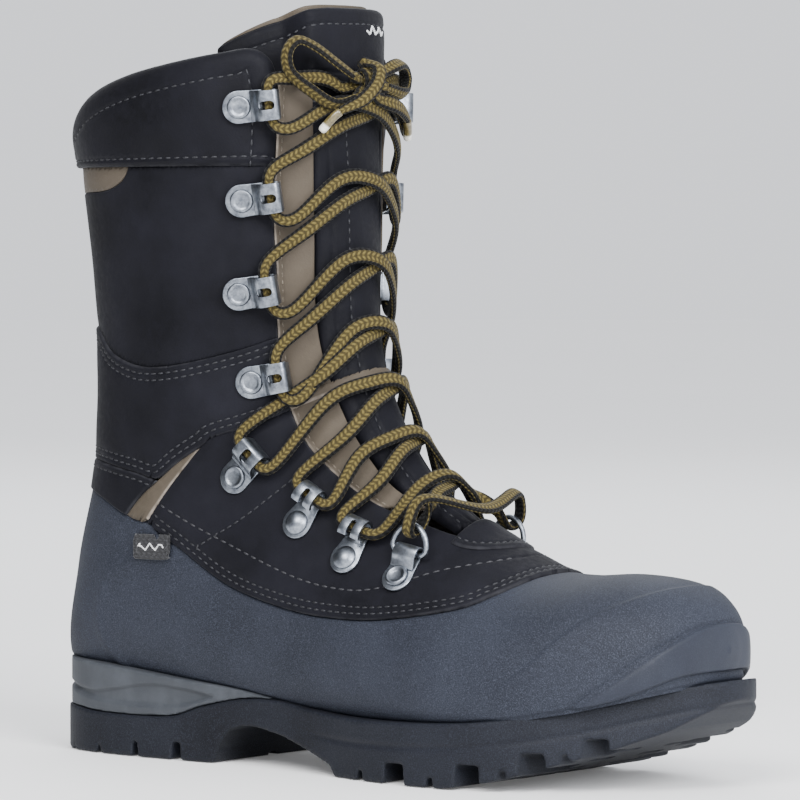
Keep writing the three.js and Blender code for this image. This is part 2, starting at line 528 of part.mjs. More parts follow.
function crossing(fromSide, uFrom, uTo, height) {
  const sign = fromSide === 'outer' ? -1 : 1;
  const at = (t, angle, depth) => layerPoint(uFrom + (uTo - uFrom) * t, sign * angle, -depth);
  const route = [at(0.2, 0.54, RUN), at(0.34, 0.28, RUN), at(0.5, 0, height), at(0.66, -0.28, RUN),
    at(0.8, -0.54, RUN)];
  if (Math.max(uFrom, uTo) < LEVEL_FROM) return route;
  return uFrom > uTo ? route.slice(1) : route.slice(0, -1);
}

// From the lowest hooks down to the D-rings.
const lastCrossing = (sign, height) => [
  layerPoint(8.62, -0.3 * sign, -RUN), layerPoint(8.45, 0, -height), layerPoint(8.3, 0.3 * sign, -RUN)];

const other = (side) => (side === 'outer' ? 'inner' : 'outer');
// The knot lies in front of the tongue, and both ends of the laced stretch reach it from behind.
const KNOT = { centre: [-9.5, -4, 268.5], radii: [4.5, 7.5, 5.5] };
const LACE_TOP = { outer: [-13.4, -14.5, 266.5], inner: [-13.4, 6.5, 266.5] };
// From the end at the knot to the top eye, hugging the tongue.
const topRun = (side) => [new THREE.Vector3(...LACE_TOP[side]),
  ...[[16.74, 0.34, 4.4], [16.84, 0.54, 4.6]].map(([u, angle, height]) => (
    layerPoint(u, angle * (side === 'outer' ? -1 : 1), -height)))];
function laceRun() {
  const points = topRun('outer');
  let side = 'outer';
  LEVELS.forEach(([u], level) => {
    points.push(...throughEye(side, level));
    const next = LEVELS[level + 1];
    if (next) points.push(...crossing(side, u, next[0], level % 2 ? UNDER : OVER));
    else points.push(...lastCrossing(side === 'outer' ? 1 : -1, OVER));
    side = other(side);
  });
  points.push(...roundWire(side, false));
  points.push(layerPoint(7.55, 0, -6.5));
  side = other(side);
  points.push(...roundWire(side, true));
  side = other(side);
  const back = [];
  let upSide = side;
  for (let level = LEVELS.length - 1; level >= 0; level--) {
    const below = LEVELS[level + 1];
    const from = other(upSide);
    if (below) back.push(...crossing(from, below[0], LEVELS[level][0], level % 2 ? OVER : UNDER));
    else back.push(...lastCrossing(from === 'outer' ? -1 : 1, UNDER).reverse());
    back.push(...throughEye(upSide, level).reverse());
    upSide = other(upSide);
  }
  return [...points, ...back, ...topRun('inner').reverse()];
}

addPiece('lace', barSolid(smooth(laceRun(), 2), LACE_R, 6), OLIVE, 0.9);

addPiece('bow_knot', Manifold.sphere(1, 12).scale(KNOT.radii).translate(KNOT.centre), OLIVE, 0.9);

// Routes of the bow's loops and of the free ends, from the knot on.
const BOW = {
  outer: [[-8.5, -13, 271.5], [-11, -20.5, 276.5], [-16, -28.5, 283], [-19.5, -34, 285], [-21.5, -37.5, 280.5],
    [-21, -37, 273], [-15.2, -30.3, 265.2], [-10.5, -21.5, 260], [-7, -13.5, 262.5]],
  inner: [[-9, 5, 272.5], [-9.5, 15, 276], [-13.5, 25, 276.5], [-16.5, 31, 272], [-14.5, 28, 266.5],
    [-9.5, 19, 265], [-7.5, 7, 267]],
};
const TAIL = {
  outer: [[-9.5, -3.5, 276.5], [-3.5, -3, 274.5], [-1.2, -6.5, 269], [-2.5, -14, 262], [-8.5, -22.5, 256.4],
    [-14, -26, 249.5]],
  inner: [[-7, 2.5, 262], [-6.5, 10.5, 260.5], [-9, 19.5, 258], [-13, 27.5, 254], [-17, 33, 247]],
};
const AGLET = 11;
const routeOf = (points) => smooth(points.map((p) => new THREE.Vector3(...p)), 4);

// Splits a route where the lace tip begins, `tipLength` before its end.
function splitRoute(route, tipLength) {
  const curve = new THREE.CatmullRomCurve3(route, false, 'centripetal');
  const length = curve.getLength();
  const at = (distance) => curve.getPointAt(distance / length);
  const stretch = (from, to, steps) => Array.from({ length: steps + 1 }, (_, i) => at(from + (to - from) * i / steps));
  return [stretch(0, length - tipLength - 2 * GAP, 14), stretch(length - tipLength, length, 3)];
}

SIDES.forEach(([side]) => {
  addPiece(`bow_loop_${side}`, barSolid(routeOf(BOW[side]), LACE_R, 6), OLIVE, 0.9);
  const [tail, tip] = splitRoute(TAIL[side].map((p) => new THREE.Vector3(...p)), AGLET);
  addPiece(`lace_end_${side}`, barSolid(tail, LACE_R, 6), OLIVE, 0.9);
  addPiece(`aglet_${side}`, barSolid(tip, 1.9, 8), 0xb8b4a4, 0.5);
});

group.name = 'insulated_hunting_boot';
export default group;
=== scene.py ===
"""A high insulated hunting boot for the right foot, with real seams, rivets, lugs and laces.

Lengths are millimetres until a mesh is made, and metres from there on. +X points to the toe,
+Y to the inner side of the foot, +Z up the shaft.
"""
import math
import bmesh
import bpy
import numpy as np
from mathutils import Matrix, Vector


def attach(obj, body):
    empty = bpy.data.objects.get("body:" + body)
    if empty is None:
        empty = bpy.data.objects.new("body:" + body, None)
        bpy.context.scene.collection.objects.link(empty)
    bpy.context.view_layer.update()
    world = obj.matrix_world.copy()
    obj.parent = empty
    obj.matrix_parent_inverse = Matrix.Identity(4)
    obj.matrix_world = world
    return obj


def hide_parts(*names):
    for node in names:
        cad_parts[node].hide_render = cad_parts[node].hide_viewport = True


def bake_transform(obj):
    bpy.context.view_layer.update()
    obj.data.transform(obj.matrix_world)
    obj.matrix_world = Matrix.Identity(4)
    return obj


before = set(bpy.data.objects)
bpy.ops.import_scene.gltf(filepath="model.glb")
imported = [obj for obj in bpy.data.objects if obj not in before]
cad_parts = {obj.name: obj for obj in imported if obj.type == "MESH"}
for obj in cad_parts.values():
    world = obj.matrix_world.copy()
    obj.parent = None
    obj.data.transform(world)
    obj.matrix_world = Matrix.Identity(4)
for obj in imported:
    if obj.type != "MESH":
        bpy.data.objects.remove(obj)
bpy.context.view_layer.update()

MM = 0.001
MID_Y = 3.0
SLOT_Y = 2.0

# ---- Shape of the foot and leg -----------------------------------------------------------------
# dorsal x, z, sole x, z, half width outer, inner, centre y, belly, roundness dorsal, sole
SECTIONS = np.array([
    [152, 60, 152, 46, 6, 6, 11, 0.50, 2.0, 2.0],
    [150, 67, 150, 39, 21, 16, 11, 0.55, 2.3, 2.6],
    [144, 73, 144, 33, 34, 25, 10, 0.60, 2.4, 3.0],
    [133, 78, 134, 28, 43, 34, 9, 0.62, 2.4, 3.4],
    [114, 80, 116, 22, 50, 42, 6, 0.62, 2.3, 3.6],
    [94, 79, 95, 17, 54, 46, 4, 0.62, 2.1, 3.6],
    [76, 81, 74, 15, 55, 48, 3, 0.62, 1.9, 3.6],
    [57, 90, 52, 14, 54, 46, 2, 0.64, 1.7, 3.4],
    [36, 102, 22, 14, 50, 43, 2, 0.64, 1.6, 3.2],
    [16, 116, -15, 15, 46, 41, 3, 0.62, 1.65, 3.0],
    [2, 134, -62, 17, 43, 41, 3, 0.60, 1.75, 2.8],
    [-6, 152, -120, 20, 41, 40, 3, 0.57, 1.85, 2.6],
    [-11.5, 172, -155, 30, 41, 40, 3, 0.54, 1.95, 2.5],
    [-13.5, 192, -154, 66, 42, 41, 3, 0.52, 2.0, 2.3],
    [-15, 214, -143, 106, 44, 43, 2.5, 0.50, 2.1, 2.2],
    [-15.5, 236, -138, 146, 47, 45, 2, 0.50, 2.1, 2.2],
    [-16.5, 256, -139.5, 184, 50, 48, 1.5, 0.50, 2.2, 2.2],
    [-17, 276, -142.5, 220, 53, 51, 1, 0.50, 2.2, 2.2],
    [-17, 304, -147, 264, 54, 52, 1, 0.50, 2.2, 2.2],
])
TOE_SHIFT = np.array([1, 1, 0.9, 0.7, 0.4, 0.2, 0.0])
LAST = len(SECTIONS) - 1
TOE_BULGE = 0.6


def section_at(u):
    """Interpolated rows of SECTIONS for an array of section numbers."""
    i = np.clip(np.floor(u).astype(int), 0, LAST - 1)
    t = (u - i)[:, None]
    b, c = SECTIONS[i], SECTIONS[i + 1]
    a = np.where((i > 0)[:, None], SECTIONS[np.maximum(i - 1, 0)], 2 * b - c)
    d = np.where((i < LAST - 1)[:, None], SECTIONS[np.minimum(i + 2, LAST)], 2 * c - b)
    return 0.5 * (2 * b + (c - a) * t + (2 * a - 5 * b + 4 * c - d) * t ** 2
                  + (3 * b - a - 3 * c + d) * t ** 3)


def signed_power(value, exponent):
    return np.sign(value) * np.abs(value) ** exponent


def layer_point(u, angle, depth=0.0):
    """Points of the layer that lies `depth` inside the outer surface; u below 0 is the toe's cap."""
    u, angle, depth = np.broadcast_arrays(*(np.atleast_1d(np.asarray(v, float)) for v in (u, angle, depth)))
    row = np.maximum(u, 0.0)
    dx, dz, sx, sz, outer, inner, centre, belly, top, bottom = section_at(row).T
    length = np.hypot(sx - dx, sz - dz)
    inset = np.minimum(depth, length / 2 - 2)
    ax, az = (sx - dx) / length, (sz - dz) / length
    shift = depth * np.interp(row, np.arange(len(TOE_SHIFT)), TOE_SHIFT)
    c, s = np.cos(angle), np.sin(angle)
    power = 2 / np.where(c >= 0, top, bottom)
    cc, ss = signed_power(c, power), signed_power(s, power)
    a = np.where(c >= 0, belly * (1 - cc), belly - (1 - belly) * cc)
    half = np.maximum(np.where(ss >= 0, inner, outer) - depth, 2)
    run = inset + (length - 2 * inset) * a
    p = np.stack([dx + ax * run - shift, centre + half * ss, dz + az * run], 1)
    grow = np.where(u < 0, 1 + u, 1.0)[:, None]
    middle = np.stack([(dx + sx) / 2 - shift + TOE_BULGE, centre, (dz + sz) / 2], 1)
    return middle * (1 - grow) + p * grow


def surface_normal(u, angle):
    """Outward unit normals."""
    e = 0.02
    low = np.where(u < -0.98, u + 0.02, u)
    pu = layer_point(np.minimum(low + e, LAST), angle) - layer_point(low - e, angle)
    pa = layer_point(low, angle + e) - layer_point(low, angle - e)
    n = np.cross(pa, pu)
    size = np.linalg.norm(n, axis=1, keepdims=True)
    return n / np.maximum(size, 1e-9)


def smooth_line(points, steps=8):
    """Catmull-Rom curve through 2-D or 3-D points."""
    p = np.asarray(points, float)
    p = np.vstack([2 * p[0] - p[1], p, 2 * p[-1] - p[-2]])
    out = []
    for k in range(1, len(p) - 2):
        for t in np.arange(steps) / steps:
            a, b, c, d = p[k - 1:k + 3]
            out.append(0.5 * (2 * b + (c - a) * t + (2 * a - 5 * b + 4 * c - d) * t * t
                              + (3 * b - a - 3 * c + d) * t ** 3))
    out.append(p[-2])
    return np.array(out)


# Side profiles, each a list of [x, z] from the heel to the toe.
SOLE_TOP = [[-170, 38.5], [-125, 36.5], [-100, 34.5], [-78, 32.5], [-50, 30], [-28, 27],
            [-10, 25], [15, 23.5], [46, 24], [79, 26], [112, 31], [136, 37], [151, 41], [170, 44]]
WEDGE_LOW = [[-170, 18.5], [-138, 17.5], [-123, 16.5], [-86, 17], [-68, 22], [-48, 26], [-30, 26.8]]
SHELL_EDGE = [[-170, 106.5], [-129, 106.5], [-104, 97], [-94, 94], [-79, 86], [-50, 71], [-17, 63],
              [10, 61], [32, 62], [62, 67], [73, 72], [80, 78], [84, 85], [92, 120]]
SKIRT_TOP = [[-170, 119.5], [-129, 119], [-102, 115], [-92, 112.5], [-80, 108], [-70, 103]]
TAN_REAR = [[-112, 88], [-104, 97], [-96, 105], [-87, 111.5], [-77, 119], [-66, 125.5], [-50, 134]]
VAMP_TOP = [[-102, 84], [-94, 94], [-82, 108], [-72, 119], [-66, 125.5], [-61, 129], [-44, 134],
            [-29, 141], [-10, 150], [30, 170]]
ANKLE_LOW = [[-170, 119.5], [-129, 119], [-102, 115], [-92, 112.5], [-86, 112.6], [-77, 119], [-66, 125.5],
             [-61, 129], [-44, 134], [-29, 141], [-10, 150], [30, 170]]
SHAFT_SEAM = [[-170, 173], [-133, 172.5], [-122, 170], [-111, 162], [-95, 157], [-80, 157],
              [-63, 160], [-48, 164], [-37, 168], [-20, 173], [20, 184]]
COLLAR_SEAM = [[-170, 236], [-100, 236], [-40, 236], [20, 236]]
INSERT_LOW = [[-170, 225.5], [-123, 226], [-106, 227], [-96, 231], [-92, 237], [-86, 250]]
COLLAR_TOP = [[-170, 243], [-146, 247], [-130, 258], [-114, 266], [-92, 272.5], [-70, 277],
              [-48, 281], [-37, 282.5], [-31, 277.5], [-28.5, 266], [-22, 252]]

# Edges beside the laces, each a list of [half width from the slot's middle, z] from the throat up.
PANEL_EDGE = [[-8, 91], [0, 91], [12, 92], [17.5, 95], [25, 113], [27, 150], [30, 184], [34, 223],
              [35.5, 280], [36, 330]]
STRIP_EDGE = [[9.6, 60], [10, 97], [15, 113], [17, 150], [20, 184], [22, 223], [23.5, 272], [24, 330]]


class Skin:
    """A triangle mesh on the loft: each vertex is a section number and an angle."""

    def __init__(self, ua, tri):
        self.ua = ua
        self.tri = tri
        self.cache = None

    def copy(self):
        return Skin(self.ua.copy(), self.tri.copy())

    def points(self):
        if self.cache is None:
            u, a = self.ua.T
            self.cache = (layer_point(u, a), surface_normal(u, a))
        return self.cache

    def split(self, f):
        """Cuts triangles along f = 0, so that an edge runs there."""
        tri = self.tri
        s = np.sign(f)[tri]
        nxt = [1, 2, 0]
        cross = s * s[:, nxt] < 0
        ends = np.stack([tri, tri[:, nxt]], 2)
        pairs, inverse = np.unique(np.sort(ends[cross], axis=1), axis=0, return_inverse=True)
        if not len(pairs):
            return
        f0, f1 = f[pairs[:, 0]], f[pairs[:, 1]]
        t = (f0 / (f0 - f1))[:, None]
        fresh = self.ua[pairs[:, 0]] * (1 - t) + self.ua[pairs[:, 1]] * t
        ids = -np.ones(tri.shape, int)
        ids[cross] = len(self.ua) + inverse.ravel()
        count = cross.sum(1)
        parts = [tri[count == 0]]
        for k in range(3):
            m = (count == 1) & cross[:, k]
            a, b, c, x = tri[m, k], tri[m, (k + 1) % 3], tri[m, (k + 2) % 3], ids[m, k]
            parts += [np.stack([a, x, c], 1), np.stack([x, b, c], 1)]
            m = (count == 2) & cross[:, k] & cross[:, (k + 1) % 3]
            a, b, c = tri[m, k], tri[m, (k + 1) % 3], tri[m, (k + 2) % 3]
            x, y = ids[m, k], ids[m, (k + 1) % 3]
            parts += [np.stack([x, b, y], 1), np.stack([a, x, y], 1), np.stack([a, y, c], 1)]
        self.ua = np.vstack([self.ua, fresh])
        self.tri = np.vstack(parts)
        self.cache = None

    def terrace(self, field, levels):
        """Cuts edges at several distances from the zero line of a field."""
        for level in levels:
            self.split(snapped(field(self) - level))

    def keep(self, f):
        """Keeps the triangles where f is nowhere negative."""
        self.tri = self.tri[(f[self.tri] >= -1e-6).all(1)]
        self.drop_unused()

    def drop_unused(self):
        used, inverse = np.unique(self.tri, return_inverse=True)
        self.ua = self.ua[used]
        self.tri = inverse.reshape(-1, 3)
        self.cache = None

    def rim(self):
        """Directed edges that belong to one triangle only."""
        edges = np.vstack([self.tri[:, [0, 1]], self.tri[:, [1, 2]], self.tri[:, [2, 0]]])
        key = np.sort(edges, axis=1)
        _, inverse, counts = np.unique(key, axis=0, return_inverse=True, return_counts=True)
        return edges[counts[inverse.ravel()] == 1]


SNAP = 0.05


def snapped(f):
    return np.where(np.abs(f) < SNAP, 0.0, f)


def line_distance(q, axes, normals, line):
    """Signed distance along the surface from a plane line, positive on its left."""
    best = np.full(len(q), 1e9)
    sign = np.ones(len(q))
    grad = np.zeros((len(q), 2))
    for a, b in zip(line[:-1], line[1:]):
        d = b - a
        t = np.clip(((q - a) @ d) / (d @ d), 0, 1)
        off = q - (a + t[:, None] * d)
        dist = (off ** 2).sum(1)
        closer = dist < best
        best[closer] = dist[closer]
        cross = d[0] * (q[:, 1] - a[1]) - d[1] * (q[:, 0] - a[0])
        sign[closer] = np.where(cross[closer] >= 0, 1.0, -1.0)
        grad[closer] = off[closer]
    best = np.sqrt(best)
    g = grad / np.maximum(best, 1e-9)[:, None]
    direction = g[:, :1] * axes[0] + g[:, 1:] * axes[1]
    along = (direction * normals).sum(1)
    slope = np.sqrt(np.clip(1 - along ** 2, 0.02, 1))
    return sign * best / slope


X_AXIS = np.array([[1.0, 0, 0]])
Z_AXIS = np.array([[0, 0, 1.0]])


def side_field(profile, below=False):
    """Field of a side profile, positive above it, or below it."""
    line = smooth_line(profile)

    def field(skin):
        p, n = skin.points()
        value = line_distance(p[:, [0, 2]], (X_AXIS, Z_AXIS), n, line)
        return snapped(-value if below else value)
    return field


FRONT_LIMIT = -62.0


def slot_field(edge, inside=False):
    """Field of an edge beside the laces, positive on the outside, or between the two edges."""
    line = smooth_line(edge)

    def field(skin):
        p, n = skin.points()
        offset = p[:, 1] - SLOT_Y
        axis = np.stack([0 * offset, np.where(offset >= 0, 1.0, -1.0), 0 * offset], 1)
        q = np.stack([np.abs(offset), p[:, 2]], 1)
        value = -line_distance(q, (axis, Z_AXIS), n, line)
        value[p[:, 0] < FRONT_LIMIT] = 100.0
        return snapped(-value if inside else value)
    return field


def even_angles(count):
    """Angles that space points evenly round a typical section, dense enough at the ridge."""
    a = np.linspace(-math.pi, math.pi, 4001)
    p = layer_point(np.full_like(a, 6.5), a)
    q = layer_point(np.full_like(a, 15.5), a)
    step = np.linalg.norm(np.diff(p, axis=0), axis=1) + np.linalg.norm(np.diff(q, axis=0), axis=1)
    total = np.concatenate([[0], np.cumsum(step)])
    return np.interp(np.linspace(0, total[-1], count), total, a)


def make_skin(spacing=1.7, around=190):
    fine = np.linspace(0, LAST, 3601)
    tracks = [layer_point(fine, np.full_like(fine, a)) for a in (0, 0.8, 1.6, -1.6, 2.4, 3.14)]
    step = np.max([np.linalg.norm(np.diff(t, axis=0), axis=1) for t in tracks], axis=0)
    total = np.concatenate([[0], np.cumsum(step)])
    rows = np.interp(np.linspace(0, total[-1], int(total[-1] / spacing)), total, fine)
    rows = np.concatenate([[-1, -0.75, -0.5, -0.25], rows])
    angles = even_angles(around)
    ua = np.stack(np.meshgrid(rows, angles, indexing="ij"), 2).reshape(-1, 2)
    n = len(angles)
    i, j = np.meshgrid(np.arange(len(rows) - 1), np.arange(n - 1), indexing="ij")
    a = (i * n + j).ravel()
    tri = np.vstack([np.stack([a, a + 1, a + n + 1], 1), np.stack([a, a + n + 1, a + n], 1)])
    tri = tri[np.linalg.norm(np.cross(*edge_vectors(ua, tri)), axis=1) > 1e-7]
    return Skin(ua, tri)


def edge_vectors(ua, tri):
    p = layer_point(*ua.T)
    return p[tri[:, 1]] - p[tri[:, 0]], p[tri[:, 2]] - p[tri[:, 0]]


def region(skin, fields):
    """The part of the skin where every field is positive."""
    part = skin.copy()
    rough = [np.asarray(f(part)) for f in fields]
    near = np.min(rough, axis=0) > -8
    part.tri = part.tri[near[part.tri].any(1)]
    part.drop_unused()
    for f in fields:
        part.split(f(part))
        part.keep(f(part))
    return part


def smoothstep(low, high, x):
    t = np.clip((x - low) / (high - low), 0, 1)
    return t * t * (3 - 2 * t)


def rounded(d, radius):
    """How far an edge of that radius falls below the surface at distance d from it."""
    t = np.clip(1 - d / radius, 0, 1)
    return radius * (1 - np.sqrt(1 - t * t))


# ---- Meshes, objects and noise -------------------------------------------------------------------
def fast_noise(p, scale, seed=0):
    """Smooth value noise in about -1 to 1 at points p."""
    rng = np.random.default_rng(seed)
    total = np.zeros(len(p))
    for _ in range(7):
        k = rng.normal(size=3)
        k *= 2 * math.pi / (scale * rng.uniform(0.7, 1.6) * np.linalg.norm(k))
        total += np.sin(p @ k + rng.uniform(0, 6.28))
    return total / 3.2


def new_object(name, verts, faces, body, material, node=None, uv=None, smooth=True, attributes=None):
    """A mesh object in metres from millimetre vertices, riding on its body."""
    mesh = bpy.data.meshes.new(name)
    verts = np.asarray(verts, float) * MM
    if isinstance(faces, np.ndarray):
        faces = faces.tolist()
    mesh.from_pydata(verts.tolist(), [], faces)
    if uv is not None:
        layer = mesh.uv_layers.new(name="UVMap")
        index = np.empty(len(mesh.loops), np.int32)
        mesh.loops.foreach_get("vertex_index", index)
        layer.data.foreach_set("uv", np.asarray(uv, np.float32)[index].ravel())
    for key, values in (attributes or {}).items():
        mesh.attributes.new(key, "FLOAT", "POINT").data.foreach_set("value", np.asarray(values, np.float32))
    mesh.update()
    mesh.validate()
    if smooth:
        mesh.polygons.foreach_set("use_smooth", np.ones(len(mesh.polygons), bool))
    obj = bpy.data.objects.new(name, mesh)
    bpy.context.scene.collection.objects.link(obj)
    finish_object(obj, body, material, node)
    return obj


def finish_object(obj, body, material, node=None):
    obj.data.materials.clear()
    obj.data.materials.append(material)
    if body:
        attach(obj, body)
    nodes = [node] if isinstance(node, str) else list(node or [])
    if nodes:
        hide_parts(*nodes)
    return obj


def weld(obj, distance=1e-6):
    bm = bmesh.new()
    bm.from_mesh(obj.data)
    bmesh.ops.remove_doubles(bm, verts=bm.verts, dist=distance)
    bm.to_mesh(obj.data)
    bm.free()
    return obj


def closed_shell(part, outer, inner):
    """Closed body between two layers of the same part of the skin; depths are per vertex."""
    u, a = part.ua.T
    top = layer_point(u, a, outer)
    under = layer_point(u, a, inner)
    n = len(top)
    rim = part.rim()
    # the skin is slit along the sole; those two rims meet and need no wall
    slit = np.abs(np.abs(a[rim]).min(1) - math.pi) < 1e-6
    rim = rim[~slit]
    b, c = rim[:, 0], rim[:, 1]
    wall = np.vstack([np.stack([c, b, b + n], 1), np.stack([c, b + n, c + n], 1)])
    faces = np.vstack([part.tri, part.tri[:, ::-1] + n, wall])
    return np.vstack([top, under]), faces


def grooves(part, fields, width=0.9):
    """Cuts edges along each line of stitches and its two banks."""
    for f in fields:
        part.terrace(f, (-width, 0.0, width))


def groove_depth(part, fields, width=0.9, depth=0.35):
    total = np.zeros(len(part.ua))
    for f in fields:
        total = np.maximum(total, depth * np.clip(1 - np.abs(f(part)) / width, 0, 1))
    return total


def offset_field(field, distance):
    return lambda part: snapped(field(part) - distance)


def contour(part, f):
    """Lines of (section, angle) where f = 0 on the part."""
    s = f[part.tri] > 0
    mixed = part.tri[s.any(1) & ~s.all(1)]
    links = {}
    spots = {}
    for a, b, c in mixed:
        keys = []
        for p, q in ((a, b), (b, c), (c, a)):
            if (f[p] > 0) != (f[q] > 0):
                key = (min(p, q), max(p, q))
                if key not in spots:
                    t = f[key[0]] / (f[key[0]] - f[key[1]])
                    spots[key] = part.ua[key[0]] * (1 - t) + part.ua[key[1]] * t
                keys.append(key)
        if len(keys) == 2:
            links.setdefault(keys[0], []).append(keys[1])
            links.setdefault(keys[1], []).append(keys[0])
    lines = []
    seen = set()
    starts = [k for k, v in links.items() if len(v) == 1] + list(links)
    for start in starts:
        if start in seen:
            continue
        line = [start]
        seen.add(start)
        while True:
            following = [k for k in links[line[-1]] if k not in seen]
            if not following:
                break
            line.append(following[0])
            seen.add(following[0])
        if len(line) > 3:
            lines.append(np.array([spots[k] for k in line]))
    return lines


def resample(points, pitch):
    """Index positions of evenly spaced points along a polyline."""
    step = np.linalg.norm(np.diff(points, axis=0), axis=1)
    total = np.concatenate([[0], np.cumsum(step)])
    count = int(total[-1] / pitch)
    at = (np.arange(count) + 0.5) * pitch + (total[-1] - count * pitch) / 2
    return np.interp(at, total, np.arange(len(points)))


# each ring of a stitch: place along it, radius and lift, as shares of its half length and radius
STITCH_RINGS = [(-1.0, 0.30, -0.75), (-0.72, 0.80, -0.15), (0.0, 1.0, 0.2), (0.72, 0.80, -0.15),
                (1.0, 0.30, -0.75)]
STITCH_SIDES = 6
STITCH_PITCH, STITCH_LENGTH, THREAD_RADIUS = 3.6, 2.7, 0.42


def stitch_mesh(centres, along, normals, length, radius):
    """Small thread bodies that dip into the leather at both ends."""
    across = np.cross(normals, along)
    rings = []
    for x, r, lift in STITCH_RINGS:
        for k in range(STITCH_SIDES):
            angle = 2 * math.pi * k / STITCH_SIDES
            rings.append(centres + along * (x * length / 2)
                         + across * (radius * 1.1 * r * math.cos(angle))
                         + normals * (radius * (r * math.sin(angle) + lift)))
    verts = np.stack(rings, 1).reshape(-1, 3)
    n = len(STITCH_RINGS) * STITCH_SIDES
    faces = []
    for i in range(len(STITCH_RINGS) - 1):
        for k in range(STITCH_SIDES):
            a, b = i * STITCH_SIDES + k, i * STITCH_SIDES + (k + 1) % STITCH_SIDES
            faces.append([a, b, b + STITCH_SIDES, a + STITCH_SIDES])
    faces = np.array(faces)
    all_faces = (faces[None] + (np.arange(len(centres)) * n)[:, None, None]).reshape(-1, 4)
    caps = np.array([list(range(STITCH_SIDES))[::-1], list(range(n - STITCH_SIDES, n))])
    all_caps = (caps[None] + (np.arange(len(centres)) * n)[:, None, None]).reshape(-1, STITCH_SIDES)
    return verts, all_faces.tolist() + all_caps.tolist()


def sew(name, part, rows, outer, body, material, pitch=STITCH_PITCH, length=STITCH_LENGTH,
        radius=THREAD_RADIUS, limits=()):
    """Stitches along the zero lines of the fields in rows, where every field in limits is positive."""
    centres, along, normals = [], [], []
    for f in rows:
        for line in contour(part, f(part)):
            u, a = line.T
            depth = np.asarray(outer(Skin(line, part.tri)), float)
            p = layer_point(u, a, depth)
            n = surface_normal(u, a)
            if len(p) < 4 or np.linalg.norm(np.diff(p, axis=0), axis=1).sum() < 3 * pitch:
                continue
            at = resample(p, pitch)
            index = np.arange(len(p))
            c = np.stack([np.interp(at, index, p[:, k]) for k in range(3)], 1)
            ahead = np.stack([np.interp(at + 0.5, index, p[:, k]) for k in range(3)], 1)
            back = np.stack([np.interp(at - 0.5, index, p[:, k]) for k in range(3)], 1)
            m = np.stack([np.interp(at, index, n[:, k]) for k in range(3)], 1)
            m /= np.linalg.norm(m, axis=1, keepdims=True)
            t = ahead - back
            t -= m * (t * m).sum(1, keepdims=True)
            t /= np.maximum(np.linalg.norm(t, axis=1, keepdims=True), 1e-9)
            good = np.ones(len(c), bool)
            spots = Skin(np.stack([np.interp(at, index, u), np.interp(at, index, a)], 1), part.tri)
            for limit in limits:
                good &= np.asarray(limit(spots)) > 0
            centres.append(c[good])
            along.append(t[good])
            normals.append(m[good])
    if not centres:
        return None
    verts, faces = stitch_mesh(np.vstack(centres), np.vstack(along), np.vstack(normals), length, radius)
    return new_object(name, verts, faces, body, material)


# ---- Materials -----------------------------------------------------------------------------------
class Paint:
    """Short calls for building one node material."""

    def __init__(self, name, **sockets):
        self.mat = bpy.data.materials.new(name)
        self.mat.use_nodes = True
        self.tree = self.mat.node_tree
        self.bsdf = self.tree.nodes["Principled BSDF"]
        self.place = self.tree.nodes.new("ShaderNodeTexCoord").outputs["Object"]
        for key, value in sockets.items():
            self.bsdf.inputs[key.replace("_", " ")].default_value = value

    def node(self, kind, inputs=(), **props):
        made = self.tree.nodes.new("ShaderNode" + kind)
        for key, value in props.items():
            setattr(made, key, value)
        for key, value in dict(inputs).items():
            self.plug(made.inputs[key], value)
        return made

    def plug(self, socket, value):
        if isinstance(value, bpy.types.NodeSocket):
            self.tree.links.new(value, socket)
        else:
            socket.default_value = value

    def noise(self, size, detail=2.0, rough=0.5):
        """Noise with features of about `size` millimetres."""
        made = self.node("TexNoise", {"Vector": self.place, "Scale": 1 / (size * MM), "Detail": detail,
                                      "Roughness": rough})
        return made.outputs["Fac"]

    def cells(self, size):
        """Distance from the middle of cells of about `size` millimetres."""
        made = self.node("TexVoronoi", {"Vector": self.place, "Scale": 1 / (size * MM)}, feature="F1")
        return made.outputs["Distance"]

    def ramp(self, value, low, high, to_low=0.0, to_high=1.0):
        return self.node("MapRange", {"Value": value, "From Min": low, "From Max": high,
                                      "To Min": to_low, "To Max": to_high}).outputs[0]

    def calc(self, operation, a, b=0.0):
        return self.node("Math", {0: a, 1: b}, operation=operation).outputs[0]

    def blend(self, factor, a, b):
        made = self.node("Mix", data_type="RGBA")
        self.plug(made.inputs[0], factor)
        self.plug(made.inputs[6], a if isinstance(a, bpy.types.NodeSocket) else (*a, 1.0))
        self.plug(made.inputs[7], b if isinstance(b, bpy.types.NodeSocket) else (*b, 1.0))
        return made.outputs[2]

    def attribute(self, name):
        return self.node("Attribute", attribute_name=name).outputs["Fac"]

    def bump(self, height, distance, strength=1.0, after=None):
        """Bump of a height field; distance is in millimetres."""
        inputs = {"Height": height, "Distance": distance * MM, "Strength": strength}
        if after is not None:
            inputs["Normal"] = after
        return self.node("Bump", inputs).outputs[0]

    def done(self, color, rough=None, normal=None):
        self.plug(self.bsdf.inputs["Base Color"], color)
        if rough is not None:
            self.plug(self.bsdf.inputs["Roughness"], rough)
        if normal is not None:
            self.plug(self.bsdf.inputs["Normal"], normal)
        return self.mat


